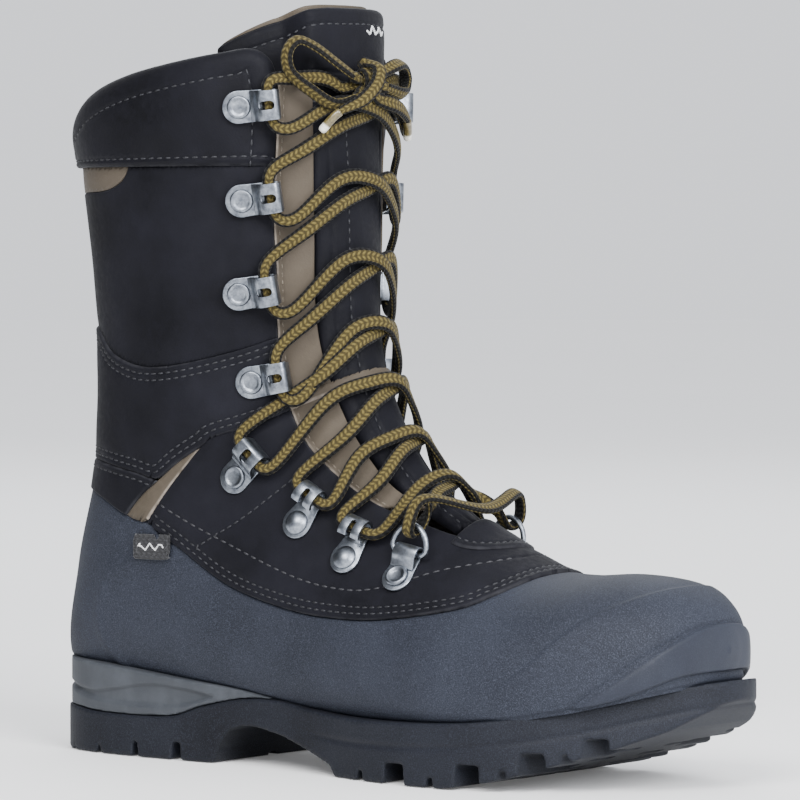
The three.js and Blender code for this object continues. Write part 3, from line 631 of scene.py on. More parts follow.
def leather(name, dark, light, worn, grain=0.5, rough=(0.60, 0.84), sheen=0.015, edge=0.9):
    p = Paint(name, Sheen_Weight=sheen, Sheen_Roughness=0.45, Specular_IOR_Level=0.10)
    cloud = p.noise(38, 4.0, 0.6)
    nap = p.noise(2.6, 3.0, 0.65)
    color = p.blend(p.ramp(cloud, 0.32, 0.72), dark, light)
    color = p.blend(p.ramp(nap, 0.48, 0.78, 0.0, 0.45), color, light)
    rub = p.calc("MULTIPLY", p.ramp(p.attribute("edge"), 0.0, edge, 1.0, 0.0), p.ramp(p.noise(5), 0.25, 0.65))
    color = p.blend(rub, color, worn)
    pores = p.cells(1.1)
    height = p.calc("ADD", p.calc("MULTIPLY", pores, 0.35 * grain),
                    p.calc("MULTIPLY", p.noise(0.7, 2.0), grain))
    normal = p.bump(height, 0.12, 0.75)
    normal = p.bump(p.noise(9, 3.0, 0.55), 0.5, 0.35, normal)
    return p.done(color, p.ramp(nap, 0.3, 0.75, rough[0], rough[1]), normal)


def speckled_rubber(name, dark, light, fleck, grain=1.0):
    p = Paint(name, Specular_IOR_Level=0.18)
    plain = p.attribute("smooth")
    coarse = p.calc("SUBTRACT", 1.0, p.calc("MULTIPLY", plain, 0.7))
    dots = p.noise(0.42, 1.0, 0.4)
    cloud = p.noise(45, 3.0)
    color = p.blend(p.ramp(cloud, 0.3, 0.7), dark, light)
    color = p.blend(p.calc("MULTIPLY", p.ramp(dots, 0.52, 0.70, 0.0, 0.65), coarse), color, fleck)
    color = p.blend(p.calc("MULTIPLY", p.ramp(dots, 0.30, 0.44, 0.6, 0.0), coarse), color,
                    tuple(0.55 * c for c in dark))
    height = p.calc("MULTIPLY", p.calc("ADD", dots, p.calc("MULTIPLY", p.noise(0.35), 0.5)), coarse)
    normal = p.bump(height, 0.22 * grain, 0.8)
    return p.done(color, p.ramp(plain, 0.0, 1.0, 0.66, 0.5), normal)


def moulded_rubber(name, dark, light, rough=0.6):
    p = Paint(name, Specular_IOR_Level=0.4)
    dust = p.ramp(p.noise(14, 5.0, 0.65), 0.45, 0.75)
    color = p.blend(dust, dark, light)
    grain = p.noise(0.5, 2.0)
    color = p.blend(p.ramp(grain, 0.58, 0.74, 0.0, 0.35), color, light)
    return p.done(color, p.ramp(dust, 0.0, 1.0, rough, rough + 0.15), p.bump(grain, 0.08, 0.7))


def pewter(name, tone=1.0):
    p = Paint(name, Metallic=1.0, Anisotropic=0.1)
    patina = p.noise(3.2, 5.0, 0.7)
    pits = p.noise(0.4, 2.0, 0.6)
    bright = tuple(tone * c for c in (0.30, 0.325, 0.36))
    color = p.blend(p.ramp(patina, 0.35, 0.68), tuple(tone * c for c in (0.10, 0.11, 0.13)), bright)
    color = p.blend(p.ramp(pits, 0.62, 0.75, 0.0, 0.6), color, (0.05, 0.055, 0.065))
    return p.done(color, p.ramp(patina, 0.3, 0.7, 0.44, 0.30), p.bump(pits, 0.05, 0.6))


def thread(name, color, glint):
    p = Paint(name, Specular_IOR_Level=0.4)
    twist = p.noise(0.45, 2.0, 0.6)
    return p.done(p.blend(p.ramp(twist, 0.4, 0.7), color, glint), 0.55, p.bump(twist, 0.15, 0.8))


def woven(name, dark, light, pitch=1.0, sheen=0.3):
    """Plain weave or felted lining from two crossed sets of waves."""
    p = Paint(name, Sheen_Weight=sheen, Sheen_Roughness=0.5, Specular_IOR_Level=0.3)
    k = 1000.0 / pitch
    warp = p.node("TexWave", {"Vector": p.place, "Scale": k / 6.28, "Distortion": 1.2, "Detail": 2.0},
                  bands_direction="Z").outputs["Fac"]
    weft = p.node("TexWave", {"Vector": p.place, "Scale": k / 6.28, "Distortion": 1.2, "Detail": 2.0},
                  bands_direction="DIAGONAL").outputs["Fac"]
    weave = p.calc("MULTIPLY", warp, weft)
    fuzz = p.noise(1.2, 4.0, 0.7)
    color = p.blend(p.ramp(p.calc("ADD", weave, fuzz), 0.4, 1.2), dark, light)
    color = p.blend(p.ramp(p.noise(25, 3.0), 0.35, 0.7, 0.0, 0.4), color, dark)
    return p.done(color, 0.92, p.bump(p.calc("ADD", weave, fuzz), 0.25, 0.7))


BRAID_PITCH = 2.1
BRAID_COLUMNS = 12.0
FACE_SHARE = 0.205


def braid(name, olive, olive_painted_shade, black):
    """Flat braided lace: the u of its UV goes round it once, the v along it in millimetres."""
    p = Paint(name, Sheen_Weight=0.04, Sheen_Roughness=0.4, Specular_IOR_Level=0.15)
    uv = p.node("TexCoord").outputs["UV"]
    split = p.node("SeparateXYZ", {0: uv})
    around, along = split.outputs[0], split.outputs[1]
    # distance from the middle of the face, 0 to 0.5 round the lace
    away = p.calc("ABSOLUTE", p.calc("SUBTRACT", around, 0.25))
    away = p.calc("MINIMUM", away, p.calc("SUBTRACT", 1.0, away))
    columns = p.calc("MULTIPLY", around, BRAID_COLUMNS)
    turn = p.calc("PINGPONG", columns, 1.0)
    rows = p.calc("ADD", p.calc("DIVIDE", along, BRAID_PITCH), p.calc("MULTIPLY", turn, 0.5))
    strand = p.calc("SINE", p.calc("MULTIPLY", rows, 2 * math.pi))
    ridge = p.calc("SINE", p.calc("MULTIPLY", turn, math.pi))
    height = p.calc("MULTIPLY", p.ramp(strand, -1.0, 1.0), p.ramp(ridge, 0.0, 1.0, 0.25, 1.0))
    fuzz = p.noise(0.35, 3.0, 0.7)
    face = p.ramp(p.calc("ADD", away, p.calc("MULTIPLY", fuzz, 0.012)), FACE_SHARE / 2 + 0.004,
                  FACE_SHARE / 2 + 0.014, 1.0, 0.0)
    rim = p.calc("MULTIPLY", p.ramp(away, 0.268, 0.276), p.ramp(away, 0.330, 0.338, 1.0, 0.0))
    mask = p.calc("MAXIMUM", face, rim)
    # olive face: painted shade in the low parts of the braid, full olive on the raised strands; the fuzz
    # lightening after it is the fibres' own tone
    olive_face_with_painted_shade = p.blend(p.ramp(height, 0.15, 0.75), olive_painted_shade, olive)
    olive_face_with_painted_shade = p.blend(p.ramp(fuzz, 0.55, 0.8, 0.0, 0.4), olive_face_with_painted_shade, tuple(min(1.0, 1.7 * c) for c in olive))
    # black edges: painted shade in the braid's grooves and a painted highlight on its ridges
    dark = p.blend(p.ramp(height, 0.2, 0.9), tuple(0.5 * c for c in black), tuple(2.2 * c for c in black))
    color = p.blend(mask, dark, olive_face_with_painted_shade)
    return p.done(color, 0.82, p.bump(p.calc("ADD", height, p.calc("MULTIPLY", fuzz, 0.4)), 0.35, 0.9))


def tip_plastic(name):
    """Clear sleeve over the lace, pale at its end, where the clear plastic's own tip carries a painted
    highlight; the attribute "tip" runs from 0 to 1 along it.
    """
    p = Paint(name, Specular_IOR_Level=0.55, Coat_Weight=0.5, Coat_Roughness=0.15)
    grain = p.noise(0.8, 3.0)
    sleeve = p.blend(p.ramp(grain, 0.35, 0.7), (0.060, 0.047, 0.016), (0.150, 0.118, 0.045))
    # pale end: the clear plastic's tip with a painted highlight on it
    pale = p.blend(p.ramp(grain, 0.3, 0.7), (0.55, 0.53, 0.47), (0.75, 0.73, 0.68))
    color = p.blend(p.ramp(p.attribute("tip"), 0.66, 0.74), sleeve, pale)
    return p.done(color, 0.3, p.bump(grain, 0.06, 0.6))


NUBUCK = leather("nubuck_black", (0.0030, 0.0030, 0.0045), (0.0090, 0.0090, 0.0130), (0.026, 0.026, 0.030))
SOFT_BLACK = leather("leather_black_soft", (0.0024, 0.0024, 0.0036), (0.0070, 0.0070, 0.0105),
                     (0.022, 0.022, 0.026), grain=0.7, rough=(0.52, 0.76), sheen=0.03)
TAN_LEATHER = leather("leather_tan", (0.054, 0.044, 0.032), (0.088, 0.072, 0.055), (0.36, 0.31, 0.26),
                      grain=0.7, rough=(0.5, 0.72), sheen=0.03, edge=1.1)
SHELL_RUBBER = speckled_rubber("rubber_charcoal", (0.0125, 0.0145, 0.0215), (0.0225, 0.0260, 0.0375),
                               (0.046, 0.053, 0.073))
SOLE_RUBBER = speckled_rubber("rubber_sole", (0.0038, 0.0043, 0.0068), (0.0105, 0.0120, 0.0175),
                              (0.024, 0.028, 0.039), grain=0.6)
WEDGE_RUBBER = moulded_rubber("rubber_grey", (0.032, 0.036, 0.043), (0.056, 0.062, 0.072), rough=0.62)
PEWTER = pewter("pewter")
BRIGHT_PEWTER = pewter("pewter_bright", 1.25)
BLACK_THREAD = thread("thread_black", (0.0030, 0.0030, 0.0040), (0.028, 0.029, 0.036))
GREY_THREAD = thread("thread_grey", (0.010, 0.010, 0.012), (0.046, 0.046, 0.052))
TAN_THREAD = thread("thread_tan", (0.06, 0.048, 0.034), (0.20, 0.17, 0.13))
WHITE_THREAD = thread("thread_white", (0.45, 0.45, 0.45), (0.80, 0.80, 0.80))
LINING = woven("lining_taupe", (0.155, 0.128, 0.100), (0.270, 0.230, 0.185))
FOOTBED_FELT = woven("footbed_felt", (0.035, 0.037, 0.040), (0.085, 0.088, 0.092), pitch=1.6)
# lace colours: olive face, the olive in painted shade for the braid's grooves, and black
LACE = braid("lace_braid", (0.118, 0.092, 0.029), (0.034, 0.026, 0.009), (0.0050, 0.0048, 0.0046))
AGLET_PLASTIC = tip_plastic("lace_tip")
STIFFENER = moulded_rubber("stiffener", (0.10, 0.09, 0.08), (0.16, 0.145, 0.125), rough=0.6)
LABEL_BLACK = woven("label_black", (0.006, 0.006, 0.007), (0.022, 0.022, 0.025), pitch=0.7, sheen=0.2)


# ---- Camera, floor and light ---------------------------------------------------------------------
AZIMUTH = math.radians(38)
DISTANCE = 2000.0
TARGET = np.array([0.0, MID_Y, 150.0])
CAMERA_Z = 215.0
VIEW_WIDTH = 314.96  # seen across, at the distance of the boot
VIEW_SHIFT = (0.00625, -0.01875)
SENSOR = 36.0


def add_camera():
    rise = math.asin((CAMERA_Z - TARGET[2]) / DISTANCE)
    right = np.array([math.cos(AZIMUTH), math.sin(AZIMUTH), 0])
    back = np.array([math.sin(AZIMUTH) * math.cos(rise), -math.cos(AZIMUTH) * math.cos(rise), math.sin(rise)])
    up = np.cross(back, right)
    data = bpy.data.cameras.new("camera")
    data.sensor_width = SENSOR
    data.lens = DISTANCE * SENSOR / VIEW_WIDTH
    data.shift_x, data.shift_y = VIEW_SHIFT
    data.clip_end = 30
    camera = bpy.data.objects.new("camera", data)
    bpy.context.scene.collection.objects.link(camera)
    turn = Matrix([right, up, back]).transposed().to_4x4()
    camera.matrix_world = Matrix.Translation(Vector((TARGET + back * DISTANCE) * MM)) @ turn
    bpy.context.scene.camera = camera


def add_area(name, place, aim, size, power, color=(1, 1, 1)):
    data = bpy.data.lights.new(name, "AREA")
    data.shape = "RECTANGLE"
    data.size, data.size_y = size
    data.energy = power
    data.color = color
    light = bpy.data.objects.new(name, data)
    bpy.context.scene.collection.objects.link(light)
    direction = Vector(aim) - Vector(place)
    turn = direction.to_track_quat("-Z", "Y").to_matrix().to_4x4()
    light.matrix_world = Matrix.Translation(Vector(place)) @ turn


def add_stage():
    world = bpy.data.worlds.new("studio")
    world.use_nodes = True
    world.node_tree.nodes["Background"].inputs[0].default_value = (0.93, 0.95, 1.0, 1)
    world.node_tree.nodes["Background"].inputs[1].default_value = 1.25
    bpy.context.scene.world = world
    p = Paint("floor_pale", Specular_IOR_Level=0.2)
    tone = p.noise(400, 2.0)
    p.done(p.blend(tone, (0.90, 0.90, 0.90), (0.94, 0.94, 0.94)), 0.9)
    p.bsdf.inputs["Emission Color"].default_value = (1, 1, 1, 1)
    p.bsdf.inputs["Emission Strength"].default_value = 0.10
    bpy.ops.mesh.primitive_circle_add(vertices=96, radius=9, fill_type="NGON", location=(0, 0, -0.0004))
    floor = bpy.context.object
    floor.name = "floor"
    floor.data.materials.append(p.mat)
    add_area("key", (0.6, -2.0, 1.9), (0, 0, 0.14), (1.4, 1.2), 78)
    add_area("front", (2.0, -0.9, 1.2), (0.02, 0, 0.1), (1.2, 1.2), 92, (0.97, 0.98, 1.0))
    add_area("rim", (-1.2, 1.5, 1.6), (-0.05, 0, 0.2), (1.4, 1.0), 16, (0.95, 0.98, 1.0))


def add_flag():
    """A dark board beyond the heel, out of view, that takes the light off that side."""
    p = Paint("board_dark", Specular_IOR_Level=0.0)
    p.done(p.blend(p.noise(80, 2.0), (0.004, 0.004, 0.005), (0.008, 0.008, 0.010)), 0.95)
    bpy.ops.mesh.primitive_plane_add(size=1.7, location=(-0.85, -0.62, 0.75))
    board = bpy.context.object
    board.name = "dark_board"
    board.rotation_euler = Vector((1.0, 0.55, -0.1)).to_track_quat("Z", "Y").to_euler()
    board.data.materials.append(p.mat)


add_camera()
add_stage()
add_flag()


# ---- Sole ----------------------------------------------------------------------------------------
SOLE_PLAN = [[-157, 3], [-155, -11], [-149, -22], [-137, -30], [-118, -34], [-95, -35.5], [-75, -35.5],
             [-45, -35], [-20, -38], [5, -44], [28, -50], [50, -53], [72, -53], [92, -49], [112, -40],
             [130, -28], [145, -13], [154, 1], [157, 13], [155, 26], [147, 38], [133, 46], [115, 51],
             [92, 53], [68, 53], [40, 50], [12, 44], [-20, 38], [-45, 36], [-75, 39], [-95, 41],
             [-118, 41], [-137, 37], [-149, 28], [-155, 18]]
TREAD = [[-157, 5], [-151, 0], [-62, 0], [-60, 6], [-55, 13], [-48, 15.5], [-40, 15.5], [-25, 13],
         [-8, 8], [4, 4], [7, 0], [66, 0], [80, 2], [98, 6.5], [115, 12], [128, 16.5], [143, 23],
         [151, 29], [157, 34]]
HEEL_SLOTS = [[-141, 2.2, 5.5], [-124, 2.5, 4], [-103, 4, 6], [-81, 5.5, 7]]
FORE_SLOTS = [[42, 11, 8], [77, 11, 8], [102, 10, 7], [123, 9, 6]]
SOLE_SMOOTHNESS = 0.25
FORE_SLITS = [[23, 4, 4], [60, 4, 4], [91, 4, 3.5], [113, 4, 3.5], [134, 3.5, 3.5]]


def tread_height(x):
    t = np.array(TREAD)
    return np.interp(x, t[:, 0], t[:, 1])


def face_outward(mesh):
    bm = bmesh.new()
    bm.from_mesh(mesh)
    bmesh.ops.recalc_face_normals(bm, faces=bm.faces)
    bm.to_mesh(mesh)
    bm.free()


def scratch_object(verts, faces):
    """An object in millimetres, used up in making a piece."""
    mesh = bpy.data.meshes.new("scratch")
    mesh.from_pydata([tuple(v) for v in np.asarray(verts, float)], [], faces)
    face_outward(mesh)
    obj = bpy.data.objects.new("scratch", mesh)
    bpy.context.scene.collection.objects.link(obj)
    return obj


def read_points(obj):
    co = np.zeros(len(obj.data.vertices) * 3, np.float32)
    obj.data.vertices.foreach_get("co", co)
    return co.reshape(-1, 3).astype(float)


def write_points(obj, points):
    obj.data.vertices.foreach_set("co", points.astype(np.float32).ravel())


def prism(outline, axis, low, high):
    """Closed body: an outline swept along Y ('y', outline in x, z) or Z ('z', outline in x, y)."""
    n = len(outline)
    place = {"y": lambda p, h: (p[0], h, p[1]), "z": lambda p, h: (p[0], p[1], h)}[axis]
    verts = [place(p, low) for p in outline] + [place(p, high) for p in outline]
    faces = [list(range(n)), list(range(2 * n - 1, n - 1, -1))]
    faces += [[(i + 1) % n, i, i + n, (i + 1) % n + n] for i in range(n)]
    return scratch_object(verts, faces)


def joined(objs):
    """One object from several, by mesh data."""
    bm = bmesh.new()
    for o in objs:
        bm.from_mesh(o.data)
        bpy.data.objects.remove(o)
    mesh = bpy.data.meshes.new("scratch")
    bm.to_mesh(mesh)
    bm.free()
    obj = bpy.data.objects.new("scratch", mesh)
    bpy.context.scene.collection.objects.link(obj)
    return obj


def combined(base, tool, operation):
    m = base.modifiers.new("cut", "BOOLEAN")
    m.operation = operation
    m.solver = "EXACT"
    m.use_self = operation == "DIFFERENCE"
    m.object = tool
    bake(base)
    bpy.data.objects.remove(tool)
    return base


def bake(obj):
    """Applies every modifier."""
    depsgraph = bpy.context.evaluated_depsgraph_get()
    mesh = bpy.data.meshes.new_from_object(obj.evaluated_get(depsgraph))
    obj.modifiers.clear()
    obj.data = mesh
    return obj


def softened(obj, voxel, rounds=2, factor=0.5):
    """Rounds every edge a little: a fine voxel remesh, then light smoothing. Still in millimetres."""
    m = obj.modifiers.new("remesh", "REMESH")
    m.mode = "VOXEL"
    m.voxel_size = voxel
    m = obj.modifiers.new("smooth", "SMOOTH")
    m.iterations = rounds
    m.factor = factor
    return bake(obj)


def as_piece(obj, name, body, material, node, attributes=None):
    """Turns a millimetre object into a finished piece."""
    points = read_points(obj)
    for key, function in (attributes or {}).items():
        obj.data.attributes.new(key, "FLOAT", "POINT").data.foreach_set(
            "value", np.asarray(function(points), np.float32))
    obj.data.transform(Matrix.Scale(MM, 4))
    obj.name = name
    obj.data.name = name
    obj.data.polygons.foreach_set("use_smooth", np.ones(len(obj.data.polygons), bool))
    return finish_object(obj, body, material, node)


def closed_smooth(points, steps=6):
    """Closed curve through the points."""
    p = np.asarray(points, float)
    q = np.vstack([p[-2:], p, p[:3]])
    line = smooth_line(q, steps)
    return line[2 * steps:-(2 * steps + steps) + steps]


def wall_slots(slots, inner_reach):
    """Cuts in from both walls of the sole, each [x, width, height], as far as inner_reach from the middle."""
    tools = []
    for x, width, height in slots:
        z = float(tread_height(x))
        outline = [(x - width / 2 - 1, z - 12), (x + width / 2 + 1, z - 12),
                   (x + width / 2 - 0.8, z + height), (x - width / 2 + 0.8, z + height)]
        tools.append(prism(outline, "y", -90, MID_Y - inner_reach))
        tools.append(prism(outline, "y", MID_Y + inner_reach, 90))
    return tools


def lug_pockets():
    """Blocks cut up into the underside, between the lugs."""
    tools = []
    rows = [(-146, -64, 9, 5), (14, 140, 13, 6)]
    for x0, x1, pitch, depth in rows:
        count = int((x1 - x0) / pitch)
        for k in range(count):
            x = x0 + pitch * (k + 0.5)
            z = float(tread_height(x))
            for y0, y1 in ((-15, -5), (11, 21)) if x < 0 else ((-20, -6), (12, 26)):
                lean = 1.5 if (k % 2) else -1.5
                outline = [(x - 1.6, z - 9), (x + 1.6, z - 9), (x + 1.3 + lean * 0.2, z + depth * 0.6),
                           (x - 1.3 + lean * 0.2, z + depth * 0.6)]
                tools.append(prism(outline, "y", y0, y1))
    return tools


def make_outsole():
    plan = closed_smooth(SOLE_PLAN, 5)
    blank = prism(plan.tolist(), "z", -1, 60)
    tread = np.array(TREAD)
    fine_x = np.linspace(-168, 168, 113)
    bottom = np.stack([fine_x, np.interp(fine_x, [-168, *tread[:, 0], 168], [20, *tread[:, 1], 44])], 1)
    bottom = np.vstack([bottom, [(-62, 0), (-60, 6), (7, 0), (4, 4)]])
    bottom = bottom[np.argsort(bottom[:, 0], kind="stable")]
    top_points = WEDGE_LOW[:-1] + [[x, z - 0.3] for x, z in SOLE_TOP if x > -30]
    top = smooth_line(top_points, 6)
    top = top[(top[:, 0] > -169) & (top[:, 0] < 169)]
    side = prism(np.vstack([bottom, top[::-1]]).tolist(), "y", -90, 90)
    combined(blank, side, "INTERSECT")
    tools = wall_slots(HEEL_SLOTS, 14) + wall_slots(FORE_SLOTS, 22) + wall_slots(FORE_SLITS, 36)
    tools += lug_pockets()
    for x0, x1, half in ((-4, 110, 4), (-160, -62, 3)):
        tools.append(prism([(x0, -5), (x1, -5), (x1, 4.5), (x0, 4.5)], "y", MID_Y - half, MID_Y + half))
    combined(blank, joined(tools), "DIFFERENCE")
    softened(blank, 0.8, 3, 0.5)
    sculpt_sole(blank)
    as_piece(blank, "lugged_outsole", "boot", SOLE_RUBBER, "outsole",
             {"smooth": lambda p: np.full(len(p), SOLE_SMOOTHNESS)})


def plan_outward(p):
    """Unit directions from the sole's middle line to each point, level with the ground."""
    middle_y = np.interp(p[:, 0], [-120, -30, 60, 118], [3, 3, 1, 8])
    middle = np.stack([np.clip(p[:, 0], -120, 118), middle_y], 1)
    off = p[:, :2] - middle
    return off / np.maximum(np.linalg.norm(off, axis=1, keepdims=True), 1e-6)


def sculpt_sole(obj):
    """A fine groove under the rim of the forefoot."""
    p = read_points(obj)
    out = plan_outward(p)
    top = np.interp(p[:, 0], *smooth_line(SOLE_TOP).T)
    rim = np.exp(-((p[:, 2] - (top - 9.5)) / 0.9) ** 2) * smoothstep(-15, 10, p[:, 0])
    p[:, :2] -= out * (0.7 * rim)[:, None]
    write_points(obj, p)


def make_wedge():
    plan = closed_smooth(SOLE_PLAN, 5)
    inset = [(x * 0.995, MID_Y + (y - MID_Y) * 0.985) for x, y in plan]
    blank = prism(inset, "z", 10, 60)
    low = smooth_line([[x, z + 0.3] for x, z in WEDGE_LOW], 6)
    top = smooth_line([[x, z - 0.3] for x, z in SOLE_TOP if x < -20], 6)
    top = top[top[:, 0] < low[-1, 0]]
    side = prism(np.vstack([low, top[::-1]]).tolist(), "y", -90, 90)
    combined(blank, side, "INTERSECT")
    softened(blank, 0.7, 2, 0.5)
    p = read_points(blank)
    leaf = leaf_field(p)
    wall = np.abs(p[:, 1] - MID_Y) > 22
    p[:, 1] -= np.sign(p[:, 1] - MID_Y) * 1.5 * leaf * wall
    groove_z = np.interp(p[:, 0], [-157, -146, -138, -120], [26.5, 26.5, 25, 24.5])
    groove = np.exp(-((p[:, 2] - groove_z) / 0.8) ** 2)
    groove *= 1 - smoothstep(-140, -128, p[:, 0])
    out = plan_outward(p)
    p[:, :2] -= out * (1.1 * groove)[:, None]
    write_points(blank, p)
    as_piece(blank, "cushion_wedge", "boot", WEDGE_RUBBER, "heel_wedge", {"edge": leaf_field})


LEAF = [[-142, 25.5], [-128, 24.8], [-112, 27.0], [-96, 29.2], [-80, 28.6], [-65, 26.6], [-64, 25.6],
        [-78, 21.6], [-96, 20.6], [-118, 21.0], [-136, 23.0], [-142, 24.4]]


def leaf_field(p):
    """1 inside the leaf recess of the wedge's side, 0 outside, with a soft border."""
    line = closed_smooth(LEAF, 6)
    q = p[:, [0, 2]]
    inside = np.zeros(len(q), bool)
    distance = np.full(len(q), 1e9)
    for a, b in zip(line, np.roll(line, -1, axis=0)):
        d = b - a
        t = np.clip(((q - a) @ d) / max(d @ d, 1e-9), 0, 1)
        distance = np.minimum(distance, np.linalg.norm(q - a - t[:, None] * d, axis=1))
        crosses = (a[1] > q[:, 1]) != (b[1] > q[:, 1])
        at = a[0] + (q[:, 1] - a[1]) * d[0] / (d[1] if abs(d[1]) > 1e-9 else 1e-9)
        inside ^= crosses & (q[:, 0] < at)
    return smoothstep(-0.6, 0.9, np.where(inside, distance, -distance))


make_outsole()
make_wedge()


# ---- Upper ---------------------------------------------------------------------------------------
SOLE_LAP = 1.8
above_shell = side_field(SHELL_EDGE)
below_shell = side_field(SHELL_EDGE, below=True)
above_sole = side_field([[x, z - SOLE_LAP] for x, z in SOLE_TOP])
below_skirt = side_field(SKIRT_TOP, below=True)
behind_tan = side_field(TAN_REAR)
below_tan = side_field(TAN_REAR, below=True)
above_vamp = side_field(VAMP_TOP)
below_vamp = side_field(VAMP_TOP, below=True)
above_ankle = side_field(ANKLE_LOW)
below_shaft_seam = side_field(SHAFT_SEAM, below=True)
above_shaft_seam = side_field(SHAFT_SEAM)
below_collar = side_field(COLLAR_SEAM, below=True)
above_collar = side_field(COLLAR_SEAM)
above_insert = side_field(INSERT_LOW)
below_insert = side_field(INSERT_LOW, below=True)
below_top = side_field(COLLAR_TOP, below=True)
beside_slot = slot_field(PANEL_EDGE)
in_slot = slot_field(PANEL_EDGE, inside=True)
beside_tongue = slot_field(STRIP_EDGE)

SKIN = make_skin()
EDGE_LEVELS = (0.35, 0.9, 1.8)
PANEL_BACK = 2.8
THICK_EDGE = 1.1
FAR_FROM_EDGE = 9.0


def edge_distance(part, fields):
    return np.min([f(part) for f in fields], axis=0)


class Panel:
    """One sewn leather panel: where it lies, how far it stands out, and its lines of stitches."""

    def __init__(self, name, node, material, fields, stand, back=PANEL_BACK, free=(), tucked=(), rows=(),
                 puff=0.5, ripple=0.25, radius=THICK_EDGE, seed=1):
        self.name, self.node, self.material = name, node, material
        self.fields, self.stand, self.back = fields, stand, back
        self.free, self.tucked, self.rows = free, tucked, rows
        self.puff, self.ripple, self.radius, self.seed = puff, ripple, radius, seed

    def outer(self, part):
        """Depth of the outer face; free edges are rounded, tucked ones dip under the neighbour."""
        p, _ = part.points()
        depth = np.full(len(p), -float(self.stand))
        if self.free:
            d = edge_distance(part, self.free)
            depth += rounded(d, self.radius)
            depth -= self.puff * smoothstep(2.5, 16, d) * (1 if self.rows else 0)
        for f in self.tucked:
            depth += (self.stand - 0.1) * (1 - smoothstep(0.0, 4.5, f(part)))
        depth += groove_depth(part, self.rows)
        inside = smoothstep(0, 9, edge_distance(part, self.fields))
        return depth + self.ripple * fast_noise(p, 42, self.seed) * inside

    def build(self):
        part = region(SKIN, self.fields)
        if self.free:
            part.terrace(lambda q: edge_distance(q, self.free), EDGE_LEVELS)
        grooves(part, self.rows)
        depth = self.outer(part)
        verts, faces = closed_shell(part, depth, self.back)
        edge = edge_distance(part, self.free) if self.free else np.full(len(depth), FAR_FROM_EDGE)
        self.part = part
        values = {"edge": np.concatenate([edge, np.zeros(len(edge))])}
        weld(new_object(self.name, verts, faces, "boot", self.material, self.node, attributes=values))


FIRST_ROW = 2.6
SECOND_ROW = 5.2
UPPER_ROW = [[-89, 103], [-70, 94.5], [-50, 87], [-30, 80], [-13, 75], [2, 72.5], [17, 72], [31, 74.5],
             [45, 79], [57, 82], [68, 84]]
DIAGONAL_ROW = [[-66, 86], [-46, 97], [-30, 109], [-19, 119]]
upper_row = side_field(UPPER_ROW)
diagonal_row = side_field(DIAGONAL_ROW)


def between(low, high, axis=0):
    """Limit for stitches: positive where the coordinate lies between the two."""
    return lambda part: np.minimum(part.points()[0][:, axis] - low, high - part.points()[0][:, axis])


vamp = Panel("vamp", "vamp_panel", NUBUCK, [above_shell, below_vamp, beside_slot], 1.1,
             free=[above_shell, beside_slot], tucked=[below_vamp],
             rows=[offset_field(above_shell, FIRST_ROW), offset_field(above_shell, SECOND_ROW),
                   upper_row, diagonal_row], seed=3)
skirt = Panel("heel_skirt_leather", "heel_skirt", NUBUCK, [above_shell, below_skirt, behind_tan], 1.5,
              free=[above_shell, below_skirt, behind_tan], rows=[offset_field(below_skirt, FIRST_ROW)],
              puff=0.3, seed=4)
ankle = Panel("ankle_leather", "ankle_panel", NUBUCK, [above_ankle, below_shaft_seam, beside_slot], 1.3,
              free=[above_ankle, below_shaft_seam, beside_slot],
              rows=[offset_field(above_ankle, FIRST_ROW), offset_field(above_ankle, SECOND_ROW),
                    offset_field(below_shaft_seam, FIRST_ROW), offset_field(below_shaft_seam, SECOND_ROW)],
              seed=5)
shaft = Panel("shaft_leather", "shaft_panel", NUBUCK,
              [above_shaft_seam, below_collar, below_insert, beside_slot], 0.3,
              free=[beside_slot, below_insert], tucked=[above_shaft_seam, below_collar], ripple=0.4, seed=6)
insert = Panel("collar_insert_leather", "collar_insert", TAN_LEATHER, [above_insert, below_collar], 0.2,
               tucked=[above_insert, below_collar], seed=7)
tan = Panel("ankle_piping", ["ankle_piping_outer", "ankle_piping_inner"], TAN_LEATHER,
            [above_shell, below_tan, above_vamp], 0.8, free=[above_vamp], tucked=[below_tan], ripple=0.1,
            seed=8)


def build_strips():
    """Tan strips between the lacing edge and the tongue, one on each side."""
    reach = side_field([[-80, 104], [60, 104]])
    roof = side_field([[-80, 272], [60, 272]], below=True)
    for side, sign in (("outer", -1), ("inner", 1)):
        half = lambda part, s=sign: snapped((part.points()[0][:, 1] - SLOT_Y) * s)
        strip = Panel(f"gusset_strip_{side}", f"gusset_{side}", TAN_LEATHER,
                      [in_slot, beside_tongue, half, reach, roof], -0.2, back=2.4,
                      free=[in_slot, beside_tongue], rows=[offset_field(in_slot, 2.2)],
                      puff=0.0, ripple=0.08, radius=0.7, seed=9)
        part = region(SKIN, strip.fields)
        part.terrace(lambda q: edge_distance(q, strip.free), (0.3, 0.7))
        grooves(part, strip.rows, 0.6)
        depth = strip.outer(part)
        verts, faces = closed_shell(part, depth, strip.back)
        edge = np.concatenate([in_slot(part), np.zeros(len(depth))])
        obj = weld(new_object(strip.name, verts, faces, None, TAN_LEATHER, attributes={"edge": edge}))
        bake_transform(obj)
        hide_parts(f"gusset_{side}")
        sew(f"gusset_stitches_{side}", part, strip.rows, strip.outer, "boot", TAN_THREAD,
            pitch=3.3, length=2.3, radius=0.3)


